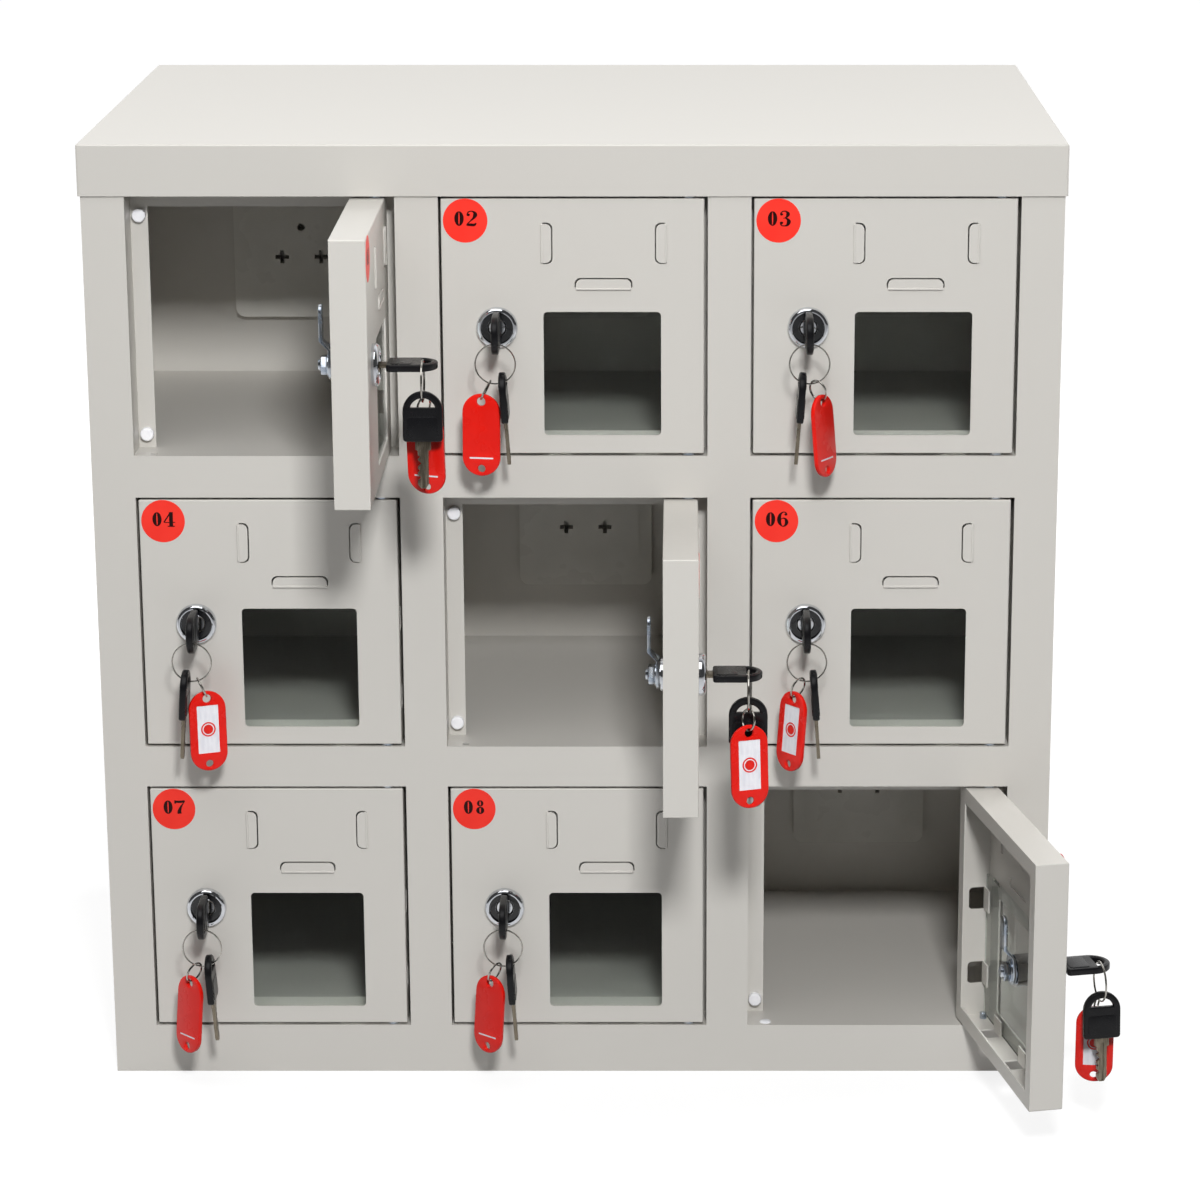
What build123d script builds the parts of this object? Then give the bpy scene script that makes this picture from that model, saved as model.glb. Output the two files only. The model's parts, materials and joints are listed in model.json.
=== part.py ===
"""Nine-door phone charging locker: a folded-steel cabinet with a keyed door on every compartment.

The origin is the middle of the cabinet's underside, +Z is up and the doors face -Y. Sizes are in mm.
"""
from build123d import *
import os
from math import cos, radians, sin

os.makedirs("parts", exist_ok=True)

# ---- cabinet ---------------------------------------------------------------------------------
COLUMNS = 3
ROWS = 3
OPENING_W = 155.0         # clear width of one door opening
OPENING_H = 153.0         # clear height of one door opening
STILE_W = 25.0            # front face of the side stiles
MULLION_W = 25.0          # front face between two columns
RAIL_H = 25.0             # front face of a shelf
BASE_H = 30.0             # front face under the bottom row
HEADER_H = 30.0           # front face over the top row, behind the lid's lip
BODY_D = 350.0
SHEET = 1.0               # folded steel of the body and the doors
COMPARTMENT_D = 240.0     # from the front face to the panel that carries the sockets
JAMB_D = 24.0             # front face to the face of the door stop
STOP_W = 10.0             # door stop's reach into the opening
BACK_FLANGE = 20.0        # side panel's flange behind the back cover
TOP_FLANGE = 15.0         # flanges that the lid lies on

LID_SHEET = 1.2
LID_GAP = 0.3             # between the body and the lid's lip
LID_LIP = 30.0
LID_BEND = 1.4

# ---- doors -----------------------------------------------------------------------------------
DOOR_DEPTH = 20.0
DOOR_GAP_LOCK = 1.5       # side gap at the lock edge
DOOR_GAP_HINGE = 2.0      # side gap at the hinge edge, where the corner swings
DOOR_GAP_V = 1.5          # gap over and under a door
DOOR_BEND = 0.9
DOOR_RETURN = 9.5         # lip folded in at the back of the door's flanges
PIN_INSET = 9.0           # pin axis from the hinge edge
PIN_SETBACK = 5.5         # pin axis behind the door's face
PIN_R = 2.1
PIN_REACH = 4.0           # past the door's flange
PIN_TIP = 0.5             # chamfer at its end
PIN_FIT = 0.08            # radial clearance in the door
PIN_SEAT_FIT = 0.04       # radial clearance in the cabinet
COLLAR_R = 4.0
COLLAR_GAP = 0.2          # between the collar and the door
HEAD_R = 3.4
HEAD_H = 1.6
SPARE_HOLE_R = 2.25       # pin holes for doors hung the other way round

WINDOW_W = 68.0
WINDOW_H = 73.0
WINDOW_LEFT = 58.5        # from the door's lock edge
WINDOW_BOTTOM = 11.0      # from the door's lower edge
WINDOW_CORNER = 2.5
PANE_T = 2.0
PANE_MARGIN = 8.0         # pane past the window at the left and the top
PANE_FIT = 0.3
TAB_REACH = 9.0
TAB_W = 14.0
TAB_SLOT = 10.5           # depth of the hole that a tab leaves in its flange
TAB_SLOT_CORNER = 2.5
TAB_HEIGHTS = (28.0, 76.0)       # on the hinge flange, from the door's lower edge
TAB_OFFSETS = (25.0, 75.0)       # on the lower flange, from the pin towards the lock

CLIP_W = 5.0              # card clips pressed out of the door's face
CLIP_PROUD = 0.8
CLIP_SLIT = 0.7
CLIP_CORNER = 3.4
SIDE_CLIP_L = 22.6
SIDE_CLIP_TOP = 14.6      # below the door's top edge
LEFT_CLIP = 58.4          # root from the door's lock edge
RIGHT_CLIP = 128.7
FOOT_CLIP_L = 31.9
FOOT_CLIP_LEFT = 77.4
FOOT_CLIP_RISE = 14.2     # root above the window's top

BUFFER_R = 4.0
BUFFER_ROUND = 1.2
BUFFER_GAP = 0.2          # between a buffer and the closed door
BUFFER_LOW = 8.0          # above the compartment's floor
BUFFER_HIGH = 15.0        # below the opening's top

# ---- lock, cam and key -------------------------------------------------------------------------
LOCK_INSET = 31.7         # lock axis from the door's lock edge
BEZEL_R = 12.0
BEZEL_H = 4.0
BEZEL_RIM_H = 1.4         # straight edge of the bezel against the door
BEZEL_CROWN = 2.0         # width of its rounded shoulder
BEZEL_CROWN_BULGE = 0.6
BEZEL_LAND = 0.6          # flat ring at the top of the bezel
DISH_BULGE = 0.15
BARREL_R = 9.4
BARREL_L = 21.5           # behind the door's face
LOCK_HOLE_FIT = 0.1
LOCK_NUT_AF = 24.0
LOCK_NUT_H = 4.0
ROTOR_R = 5.5
ROTOR_FIT = 0.05
DISH_R = 9.0
DISH_FLOOR = 1.8          # plug face proud of the door
SHANK_R = 3.4
THREAD_END = 30.0         # behind the door's face
CAM_T = 2.0
CAM_ROOT_R = 8.0
CAM_TIP_W = 9.0
CAM_LENGTH = 34.0
CAM_CRANK = 5.0
CAM_CRANK_FROM = 9.0
CAM_CRANK_TO = 14.0
CAM_SEAT = 22.0           # front of the cam behind the door's face
WASHER_R = 6.5
WASHER_T = 0.8
NUT_AF = 10.0
NUT_H = 3.6

KEY_W = 22.0
KEY_L = 28.0              # plastic head along the key
KEY_T = 4.6
KEY_START = 8.0           # head's near end in front of the door's face
KEY_LOOP_R = 7.2          # half-round hole in the head
KEY_LOOP_CUT = 2.0        # flat side of the hole past the round's centre
KEY_CORNER = 2.0
SHOULDER_W = 8.6          # wide stretch of the blade next to the head
SHOULDER_L = 5.0
BLADE_W = 6.0
BLADE_T = 2.0
BLADE_L = 26.0
BLADE_TIP_W = 3.4
BLADE_TIP_L = 2.5
BLADE_FIT = 0.12
NOTCHES = ((8.5, 1.1), (12.0, 1.8), (16.0, 1.0), (20.0, 1.5))  # from the head, depth
KEY_EDGE = 0.7

RING_R = 11.5
RING_WIRE_R = 0.65
LINK_R = 6.0
LINK_WIRE_R = 0.6
LINK_AIR = 0.15           # air between two hooked wires
RIM_DROP = 7.4            # ring centre from the middle of the key's rim
RING_ALONG = 3.0          # ring's plane past the centre of the key's round end
LINK_ANGLE = 18.0         # where the link hooks on, from the ring's lowest point
LINK_LEAN = 28.0          # link's lean away from the spare key
LINK_UPRIGHT = 160.0      # twist at which the link would hang upright
LINK_SHARE = 0.8          # part of the tag's twist that the link takes
SPARE_ANGLE = 20.0        # where the spare key hangs, on the other side
SPARE_LIFT = 2.2          # top of the key's loop over the ring's wire
SPARE_TILT = 4.0
TAG_LEAN = 12.0
TAG_UPRIGHT = 120.0       # twist at which the tag would hang upright
TAG_W = 22.0
TAG_L = 48.0
TAG_T = 2.6
TAG_HOLE_R = 2.5
TAG_RIM = 2.0
TAG_FOOT_HOLE_R = 2.2
TAG_PLAY = 0.45           # more room in the tag's hole, for its curve
TAG_EDGE = 0.6
LABEL_W = 13.0
LABEL_L = 29.0
LABEL_LIFT = 1.0          # label's middle above the tag's
LABEL_DEPTH = 0.5
LABEL_CORNER = 0.6

# ---- electrical parts --------------------------------------------------------------------------
SOCKET_W = 86.0
SOCKET_T = 8.5
SOCKET_CORNER = 6.0
SOCKET_RAISED_W = 70.0
SOCKET_RAISED_T = 1.0
SOCKET_LIFT = 37.0        # plate's lower edge above the compartment's floor
SOCKET_BODY_W = 54.0
SOCKET_BODY_D = 25.0
SOCKET_BODY_FIT = 0.3
EARTH_R = 2.4             # round earth hole over two cross-shaped contact holes
EARTH_LIFT = 15.0
CONTACT_APART = 12.5
CONTACT_DROP = 4.0
CONTACT_L = 8.5
CONTACT_W = 2.6
CONTACT_DEPTH = 12.0
DUCT_H = 25.0
DUCT_D = 16.0
INLET_W = 48.0
INLET_H = 30.0
INLET_BODY_W = 34.0
INLET_BODY_H = 24.0
INLET_BODY_D = 28.0
INLET_INSET = 57.5        # inlet's middle from the body's right side
INLET_Z = 75.0
INLET_FLANGE = 2.5
INLET_CORNER = 3.0
INLET_WELL_W = 25.0
INLET_WELL_H = 17.0
INLET_WELL_D = 16.0
LEAD_R = 5.0

VENT_L = 40.0
VENT_W = 4.0
VENT_PITCH = 12.0
VENT_COUNT = 14

# ---- how each door and its key hang: (door angle, tag side, tag twist, label to the front) ------
HANGING = {
    1: (90.0, 1, 72.0, True), 2: (0.0, -1, 8.0, False), 3: (0.0, 1, 58.0, False),
    4: (0.0, 1, 20.0, True), 5: (90.0, -1, 72.0, True), 6: (0.0, -1, 50.0, True),
    7: (0.0, -1, 45.0, False), 8: (0.0, -1, 40.0, False), 9: (102.0, 1, 72.0, False),
}

# ---- worked-out places ---------------------------------------------------------------------------
BODY_W = 2 * STILE_W + COLUMNS * OPENING_W + (COLUMNS - 1) * MULLION_W
BODY_H = BASE_H + ROWS * OPENING_H + (ROWS - 1) * RAIL_H + HEADER_H
FRONT = -BODY_D / 2
BACK = BODY_D / 2
SIDE = BODY_W / 2
LID_UNDER = BODY_H - LID_SHEET
INLET_X = SIDE - INLET_INSET
STOP_FACE = FRONT + JAMB_D
STOP_BACK = STOP_FACE + SHEET
PANEL_FACE = FRONT + COMPARTMENT_D
COVER_FACE = BACK - SHEET
FLANGE_FACE = COVER_FACE - SHEET
DOOR_W = OPENING_W - DOOR_GAP_LOCK - DOOR_GAP_HINGE
DOOR_H = OPENING_H - 2 * DOOR_GAP_V
LOCK_EDGE = PIN_INSET - DOOR_W            # lock edge in the door's frame, pin at x 0
DOOR_BACK = DOOR_DEPTH - PIN_SETBACK      # back of the door in its frame, pin at y 0
LOCK_X = LOCK_EDGE + LOCK_INSET
LOCK_Z = DOOR_H / 2
WINDOW_TOP = WINDOW_BOTTOM + WINDOW_H
PIN_Y = FRONT + PIN_SETBACK
KEY_ROUND_R = KEY_W / 2
KEY_ROUND_AT = KEY_L - KEY_ROUND_R        # centre of the round end from the near end
RING_Y = -(KEY_START + KEY_ROUND_AT + RING_ALONG)
RIM_OUT = (KEY_ROUND_R**2 - RING_ALONG**2) ** 0.5
RIM_IN = (KEY_LOOP_R**2 - RING_ALONG**2) ** 0.5
RIM_MID = (RIM_OUT + RIM_IN) / 2


def opening_left(column):
    """X of an opening's left side."""
    return -SIDE + STILE_W + column * (OPENING_W + MULLION_W)


def opening_floor(row):
    """Z of a compartment's floor, the top row being row 0."""
    return BASE_H + (ROWS - 1 - row) * (OPENING_H + RAIL_H)


def slab(x, y, z, mode=Mode.ADD):
    """Box between two values on each axis, added to the part in hand."""
    with Locations(((x[0] + x[1]) / 2, (y[0] + y[1]) / 2, (z[0] + z[1]) / 2)):
        Box(x[1] - x[0], y[1] - y[0], z[1] - z[0], mode=mode)


def fold(*points, thickness=SHEET):
    """Section of a folded sheet, drawn along its outside and thickened to the left."""
    with BuildLine() as section:
        Polyline(*points)
        offset(amount=thickness, side=Side.LEFT, kind=Kind.INTERSECTION)
    make_face(section.edges())


def pin_holes(z, radius, spare):
    """Hinge-pin holes through the sheet whose top face is at z, with the spare ones where asked."""
    for column in range(COLUMNS):
        right = opening_left(column) + OPENING_W - DOOR_GAP_HINGE - PIN_INSET
        with Locations((right, PIN_Y, z)):
            Hole(radius, depth=SHEET)
        if spare:
            left = opening_left(column) + DOOR_GAP_HINGE + PIN_INSET
            with Locations((left, PIN_Y, z)):
                Hole(SPARE_HOLE_R, depth=SHEET)


def widen(z, back):
    """Carry the sheet whose top face is at z out to the side panels, from the stiles to back."""
    inner = SIDE - STILE_W
    for side in (-1, 1):
        near, far = sorted((side * inner, side * (SIDE - SHEET)))
        slab((near, far), (STOP_BACK, back), (z - SHEET, z))
        near, far = sorted((side * inner, side * (inner - STOP_W)))
        slab((near, far), (STOP_FACE, STOP_BACK), (z - SHEET, z), Mode.SUBTRACT)


def head_stops(z):
    """Door stops along the top of each opening, hung from the rail whose underside is at z."""
    for column in range(COLUMNS):
        left = opening_left(column)
        slab(
            (left + STOP_W, left + OPENING_W - STOP_W),
            (STOP_FACE, STOP_BACK),
            (z - STOP_W, z + SHEET),
        )


# ---- body ------------------------------------------------------------------------------------------
with BuildPart() as side_panel_left:
    with BuildSketch(Plane.XY):
        fold(
            (-SIDE + BACK_FLANGE, COVER_FACE),
            (-SIDE, COVER_FACE),
            (-SIDE, FRONT),
            (-SIDE + STILE_W, FRONT),
            (-SIDE + STILE_W, STOP_FACE),
            (-SIDE + STILE_W + STOP_W, STOP_FACE),
        )
    extrude(amount=LID_UNDER)
    slab(
        (-SIDE, -SIDE + TOP_FLANGE),
        (STOP_BACK, COVER_FACE),
        (LID_UNDER - SHEET, LID_UNDER),
    )
side_panel_left.part.label = "side_panel_left"

with BuildPart() as side_panel_right:
    add(mirror(side_panel_left.part, about=Plane.YZ, mode=Mode.PRIVATE))
side_panel_right.part.label = "side_panel_right"

with BuildPart() as base_tray:
    with BuildSketch(Plane.YZ):
        fold((FLANGE_FACE, BASE_H), (FRONT, BASE_H), (FRONT, 0), (FLANGE_FACE, 0))
    extrude(amount=SIDE - STILE_W, both=True)
    widen(BASE_H, FLANGE_FACE)
    widen(SHEET, FLANGE_FACE)
    pin_holes(BASE_H, PIN_R + PIN_SEAT_FIT, spare=True)
base_tray.part.label = "base_tray"

shelves = []
for row, shelf_name in ((0, "shelf_upper"), (1, "shelf_lower")):
    shelf_top = opening_floor(row)
    rail_under = shelf_top - RAIL_H
    with BuildPart() as shelf:
        with BuildSketch(Plane.YZ):
            fold(
                (PANEL_FACE, shelf_top),
                (FRONT, shelf_top),
                (FRONT, rail_under),
                (STOP_FACE, rail_under),
            )
        extrude(amount=SIDE - STILE_W, both=True)
        widen(shelf_top, PANEL_FACE)
        head_stops(rail_under)
        pin_holes(shelf_top, PIN_R + PIN_SEAT_FIT, spare=True)
        pin_holes(rail_under + SHEET, PIN_R + PIN_SEAT_FIT, spare=False)
    shelf.part.label = shelf_name
    shelves.append(shelf.part)

header_under = BODY_H - HEADER_H
with BuildPart() as header_rail:
    with BuildSketch(Plane.YZ):
        fold(
            (FRONT + TOP_FLANGE, LID_UNDER),
            (FRONT, LID_UNDER),
            (FRONT, header_under),
            (STOP_FACE, header_under),
        )
    extrude(amount=SIDE - STILE_W, both=True)
    head_stops(header_under)
    pin_holes(header_under + SHEET, PIN_R + PIN_SEAT_FIT, spare=False)
header_rail.part.label = "header_rail"

with BuildPart() as dividers:
    for row in range(ROWS):
        floor_z = opening_floor(row)
        top_z = floor_z + OPENING_H
        web_top = LID_UNDER if row == 0 else top_z + RAIL_H - SHEET
        for column in range(1, COLUMNS):
            right = opening_left(column)
            left = right - MULLION_W
            middle = (left + right) / 2
            with BuildSketch(Plane.XY.offset(floor_z)):
                fold(
                    (left - STOP_W, STOP_FACE),
                    (left, STOP_FACE),
                    (left, FRONT),
                    (right, FRONT),
                    (right, STOP_FACE),
                    (right + STOP_W, STOP_FACE),
                )
            extrude(amount=OPENING_H)
            web = (middle - SHEET / 2, middle + SHEET / 2)
            slab(web, (FRONT + SHEET, PANEL_FACE), (floor_z, top_z))
            slab(web, (STOP_BACK, PANEL_FACE), (top_z, web_top))
dividers.part.label = "dividers"

socket_places = [
    (
        opening_left(column) + OPENING_W / 2,
        opening_floor(row) + SOCKET_LIFT + SOCKET_W / 2,
    )
    for row in range(ROWS)
    for column in range(COLUMNS)
]
with BuildPart() as socket_panel:
    with BuildSketch(Plane.XZ.offset(-PANEL_FACE)):
        with Locations((0, (BASE_H + LID_UNDER - SHEET) / 2)):
            Rectangle(2 * (SIDE - SHEET), LID_UNDER - SHEET - BASE_H)
        with Locations(*socket_places):
            Rectangle(SOCKET_BODY_W, SOCKET_BODY_W, mode=Mode.SUBTRACT)
    extrude(amount=-SHEET)
socket_panel.part.label = "socket_panel"

with BuildPart() as back_cover:
    with BuildSketch(Plane.XZ.offset(-COVER_FACE)):
        with Locations((0, LID_UNDER / 2)):
            Rectangle(BODY_W, LID_UNDER)
        for row in (0, ROWS - 1):
            with Locations((0, opening_floor(row) + OPENING_H / 2)):
                with GridLocations(VENT_PITCH, 0, VENT_COUNT, 1):
                    SlotOverall(VENT_L, VENT_W, rotation=90, mode=Mode.SUBTRACT)
        with Locations((INLET_X, INLET_Z)):
            Rectangle(INLET_BODY_W, INLET_BODY_H, mode=Mode.SUBTRACT)
    extrude(amount=-SHEET)
back_cover.part.label = "back_cover"

lid_out = LID_SHEET + LID_GAP
with BuildPart() as top_cover:
    with BuildSketch(Plane.XY.offset(BODY_H - LID_LIP)):
        Rectangle(BODY_W + 2 * lid_out, BODY_D + 2 * lid_out)
    extrude(amount=LID_LIP)
    fillet(top_cover.edges().filter_by(Axis.Z), LID_BEND)
    fillet(top_cover.faces().sort_by(Axis.Z)[-1].edges(), LID_BEND)
    offset(amount=-LID_SHEET, openings=top_cover.faces().sort_by(Axis.Z)[0])
top_cover.part.label = "top_cover"

# ---- sockets and wiring ------------------------------------------------------------------------------
with BuildPart() as charging_sockets:
    with BuildSketch(Plane.XZ.offset(-PANEL_FACE)):
        with Locations(*socket_places):
            RectangleRounded(SOCKET_W, SOCKET_W, SOCKET_CORNER)
    extrude(amount=SOCKET_T - SOCKET_RAISED_T)
    with BuildSketch(Plane.XZ.offset(-(PANEL_FACE - SOCKET_T + SOCKET_RAISED_T))):
        with Locations(*socket_places):
            RectangleRounded(SOCKET_RAISED_W, SOCKET_RAISED_W, SOCKET_CORNER)
    extrude(amount=SOCKET_RAISED_T)
    with BuildSketch(Plane.XZ.offset(-PANEL_FACE)):
        with Locations(*socket_places):
            Rectangle(SOCKET_BODY_W - SOCKET_BODY_FIT, SOCKET_BODY_W - SOCKET_BODY_FIT)
    extrude(amount=-SOCKET_BODY_D)
    with BuildSketch(Plane.XZ.offset(-(PANEL_FACE - SOCKET_T))):
        with Locations(*socket_places):
            with Locations((0, EARTH_LIFT)):
                Circle(EARTH_R)
            with Locations((-CONTACT_APART, -CONTACT_DROP), (CONTACT_APART, -CONTACT_DROP)):
                Rectangle(CONTACT_W, CONTACT_L)
                Rectangle(CONTACT_L, CONTACT_W)
    extrude(amount=-CONTACT_DEPTH, mode=Mode.SUBTRACT)
charging_sockets.part.label = "charging_sockets"

duct_face = PANEL_FACE + SOCKET_BODY_D
first_socket_x, top_socket_z = socket_places[0]
with BuildPart() as socket_wiring:
    for row in range(ROWS):
        duct_z = opening_floor(row) + SOCKET_LIFT + SOCKET_W / 2
        slab(
            (first_socket_x - SOCKET_BODY_W / 2, INLET_X + DUCT_H / 2),
            (duct_face, duct_face + DUCT_D),
            (duct_z - DUCT_H / 2, duct_z + DUCT_H / 2),
        )
    slab(
        (INLET_X - DUCT_H / 2, INLET_X + DUCT_H / 2),
        (duct_face, duct_face + DUCT_D),
        (INLET_Z - DUCT_H / 2, top_socket_z),
    )
    with BuildSketch(Plane.XZ.offset(-(duct_face + DUCT_D))):
        with Locations((INLET_X, INLET_Z)):
            Circle(LEAD_R)
    extrude(amount=-(BACK - INLET_BODY_D - duct_face - DUCT_D))
socket_wiring.part.label = "socket_wiring"

with BuildPart() as power_inlet:
    with BuildSketch(Plane.XZ.offset(-BACK)):
        with Locations((INLET_X, INLET_Z)):
            RectangleRounded(INLET_W, INLET_H, INLET_CORNER)
    extrude(amount=-INLET_FLANGE)
    with BuildSketch(Plane.XZ.offset(-BACK)):
        with Locations((INLET_X, INLET_Z)):
            Rectangle(INLET_BODY_W, INLET_BODY_H)
    extrude(amount=INLET_BODY_D)
    with BuildSketch(Plane.XZ.offset(-(BACK + INLET_FLANGE))):
        with Locations((INLET_X, INLET_Z)):
            Rectangle(INLET_WELL_W, INLET_WELL_H)
    extrude(amount=INLET_WELL_D, mode=Mode.SUBTRACT)
power_inlet.part.label = "power_inlet"

# ---- hinge pins and buffers ----------------------------------------------------------------------------
pin_x = [opening_left(column) + OPENING_W - DOOR_GAP_HINGE - PIN_INSET for column in range(COLUMNS)]
with BuildPart(mode=Mode.PRIVATE) as hinge_pin:
    with BuildSketch(Plane.XY.offset(-SHEET - HEAD_H)):
        Circle(HEAD_R)
    extrude(amount=HEAD_H)
    with BuildSketch(Plane.XY.offset(-SHEET)):
        Circle(PIN_R)
    extrude(amount=SHEET + DOOR_GAP_V + SHEET + PIN_REACH)
    with BuildSketch(Plane.XY):
        Circle(COLLAR_R)
    extrude(amount=DOOR_GAP_V - COLLAR_GAP)
    chamfer(hinge_pin.faces().sort_by(Axis.Z)[-1].edges(), PIN_TIP)

with BuildPart() as hinge_pins:
    for row in range(ROWS):
        floor_z = opening_floor(row)
        for x in pin_x:
            with Locations(
                Location((x, PIN_Y, floor_z)),
                Location((x, PIN_Y, floor_z + OPENING_H), (180, 0, 0)),
            ):
                add(hinge_pin.part)
hinge_pins.part.label = "hinge_pins"

buffer_h = JAMB_D - DOOR_DEPTH - BUFFER_GAP
with BuildPart() as door_buffers:
    with BuildSketch(Plane.XZ.offset(-STOP_FACE)):
        for row in range(ROWS):
            floor_z = opening_floor(row)
            for column in range(COLUMNS):
                x = opening_left(column) + STOP_W / 2
                with Locations((x, floor_z + BUFFER_LOW), (x, floor_z + OPENING_H - BUFFER_HIGH)):
                    Circle(BUFFER_R)
    extrude(amount=buffer_h)
    buffer_faces = door_buffers.faces().filter_by(Plane.XZ).group_by(Axis.Y)[0]
    fillet(buffer_faces.edges(), min(BUFFER_ROUND, buffer_h / 2))
door_buffers.part.label = "door_buffers"

# ---- one door, in a frame with its hinge axis on Z and its lower edge at z 0 -----------------------------
door_face = Plane.XZ.offset(PIN_SETBACK)
pane_left = LOCK_EDGE + WINDOW_LEFT - PANE_MARGIN
pane_right = PIN_INSET - SHEET - PANE_FIT
pane_low = SHEET + PANE_FIT
pane_high = WINDOW_TOP + PANE_MARGIN
pane_back = -PIN_SETBACK + SHEET + PANE_T
tab_y = pane_back + PANE_FIT / 2
window_x = LOCK_EDGE + WINDOW_LEFT + WINDOW_W / 2
window_z = WINDOW_BOTTOM + WINDOW_H / 2
clips = (                                 # length, middle of the root, turn about the door's normal
    (SIDE_CLIP_L, (LOCK_EDGE + LEFT_CLIP, DOOR_H - SIDE_CLIP_TOP - SIDE_CLIP_L / 2), 0),
    (SIDE_CLIP_L, (LOCK_EDGE + RIGHT_CLIP, DOOR_H - SIDE_CLIP_TOP - SIDE_CLIP_L / 2), 180),
    (FOOT_CLIP_L, (LOCK_EDGE + FOOT_CLIP_LEFT + FOOT_CLIP_L / 2, WINDOW_TOP + FOOT_CLIP_RISE), 90),
)

with BuildPart() as door_pan:
    with BuildSketch(door_face):
        with Locations((PIN_INSET - DOOR_W / 2, DOOR_H / 2)):
            Rectangle(DOOR_W, DOOR_H)
    extrude(amount=-DOOR_DEPTH)
    fillet(door_pan.edges().filter_by(Axis.Y), DOOR_BEND)
    fillet(door_pan.faces().sort_by(Axis.Y)[0].edges(), DOOR_BEND)
    offset(amount=-SHEET, openings=door_pan.faces().sort_by(Axis.Y)[-1])
    with BuildSketch(Plane.XZ.offset(-DOOR_BACK)):
        with Locations((PIN_INSET - DOOR_W / 2, DOOR_H / 2)):
            Rectangle(DOOR_W - SHEET, DOOR_H - SHEET)
            Rectangle(DOOR_W - 2 * DOOR_RETURN, DOOR_H - 2 * DOOR_RETURN, mode=Mode.SUBTRACT)
    extrude(amount=SHEET)
    with BuildSketch(door_face):
        with Locations((window_x, window_z)):
            RectangleRounded(WINDOW_W, WINDOW_H, WINDOW_CORNER)
        with Locations((LOCK_X, LOCK_Z)):
            Circle(BARREL_R + LOCK_HOLE_FIT)
    extrude(amount=-SHEET, mode=Mode.SUBTRACT)
    for length, (root_x, root_z), turn in clips:
        clip_plane = Plane(
            origin=(root_x, -PIN_SETBACK, root_z),
            x_dir=(cos(radians(turn)), 0, sin(radians(turn))),
            z_dir=(0, -1, 0),
        )
        with BuildSketch(clip_plane) as slit:
            with Locations(((CLIP_W + CLIP_SLIT) / 2, 0)):
                Rectangle(CLIP_W + CLIP_SLIT, length + 2 * CLIP_SLIT)
            fillet(slit.vertices().group_by(Axis.X)[-1], CLIP_CORNER)
        extrude(amount=-SHEET, mode=Mode.SUBTRACT)
        with BuildSketch(clip_plane.offset(CLIP_PROUD)) as clip:
            with Locations(((CLIP_W - SHEET) / 2, 0)):
                Rectangle(CLIP_W + SHEET, length)
            fillet(clip.vertices().group_by(Axis.X)[-1], CLIP_CORNER)
        extrude(amount=-SHEET)
    for z in TAB_HEIGHTS:
        slab(
            (PIN_INSET - SHEET, PIN_INSET),
            (tab_y, tab_y + TAB_SLOT),
            (z - TAB_W / 2, z + TAB_W / 2),
            Mode.SUBTRACT,
        )
        slab(
            (PIN_INSET - SHEET - TAB_REACH, PIN_INSET),
            (tab_y, tab_y + SHEET),
            (z - TAB_W / 2, z + TAB_W / 2),
        )
    for x in TAB_OFFSETS:
        slab(
            (-x - TAB_W / 2, -x + TAB_W / 2), (tab_y, tab_y + TAB_SLOT), (0, SHEET), Mode.SUBTRACT
        )
        slab((-x - TAB_W / 2, -x + TAB_W / 2), (tab_y, tab_y + SHEET), (0, SHEET + TAB_REACH))
    slot_end = tab_y + TAB_SLOT
    fillet(
        door_pan.edges().filter_by_position(Axis.Y, slot_end - PANE_FIT, slot_end + PANE_FIT)
        .filter_by(lambda edge: abs(edge.length - SHEET) < PANE_FIT),
        TAB_SLOT_CORNER,
    )
    for z in (DOOR_H, SHEET):
        with Locations((0, 0, z)):
            Hole(PIN_R + PIN_FIT, depth=SHEET)

with BuildPart() as window_pane:
    slab((pane_left, pane_right), (pane_back - PANE_T, pane_back), (pane_low, pane_high))
    fillet(window_pane.edges().filter_by(Axis.Y), WINDOW_CORNER)

# ---- one lock, in a frame with its axis on Y and the door's face at y 0 ---------------------------------
with BuildPart() as lock_housing:
    with BuildSketch(Plane.XY):
        with BuildLine():
            shoulder = (BEZEL_R, -BEZEL_RIM_H)
            crown = (BEZEL_R - BEZEL_CROWN, -BEZEL_H)
            lip = (BEZEL_R - BEZEL_CROWN - BEZEL_LAND, -BEZEL_H)
            dish = (DISH_R, -DISH_FLOOR)
            Line((BEZEL_R, 0), shoulder)
            SagittaArc(shoulder, crown, BEZEL_CROWN_BULGE)
            Line(crown, lip)
            SagittaArc(lip, dish, DISH_BULGE)
            Polyline(
                dish,
                (ROTOR_R + ROTOR_FIT, -DISH_FLOOR),
                (ROTOR_R + ROTOR_FIT, BARREL_L),
                (BARREL_R, BARREL_L),
                (BARREL_R, 0),
                (BEZEL_R, 0),
            )
        make_face()
    revolve(axis=Axis.Y)

with BuildPart() as lock_nut:
    with BuildSketch(Plane.XZ.offset(-SHEET)):
        RegularPolygon(LOCK_NUT_AF / 2, 6, major_radius=False)
        Circle(BARREL_R + ROTOR_FIT, mode=Mode.SUBTRACT)
    extrude(amount=-LOCK_NUT_H)

cam_back = CAM_SEAT + CAM_T
washer_back = cam_back + WASHER_T
with BuildPart() as rotor:
    with BuildSketch(Plane.XZ.offset(DISH_FLOOR)):
        Circle(ROTOR_R)
    extrude(amount=-(DISH_FLOOR + CAM_SEAT))
    with BuildSketch(Plane.XZ.offset(-CAM_SEAT)):
        Circle(SHANK_R)
    extrude(amount=-(THREAD_END - CAM_SEAT))
    slab(
        (-BLADE_T / 2 - BLADE_FIT, BLADE_T / 2 + BLADE_FIT),
        (-DISH_FLOOR, CAM_SEAT - SHEET),
        (-BLADE_W / 2 - BLADE_FIT, BLADE_W / 2 + BLADE_FIT),
        Mode.SUBTRACT,
    )

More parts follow.
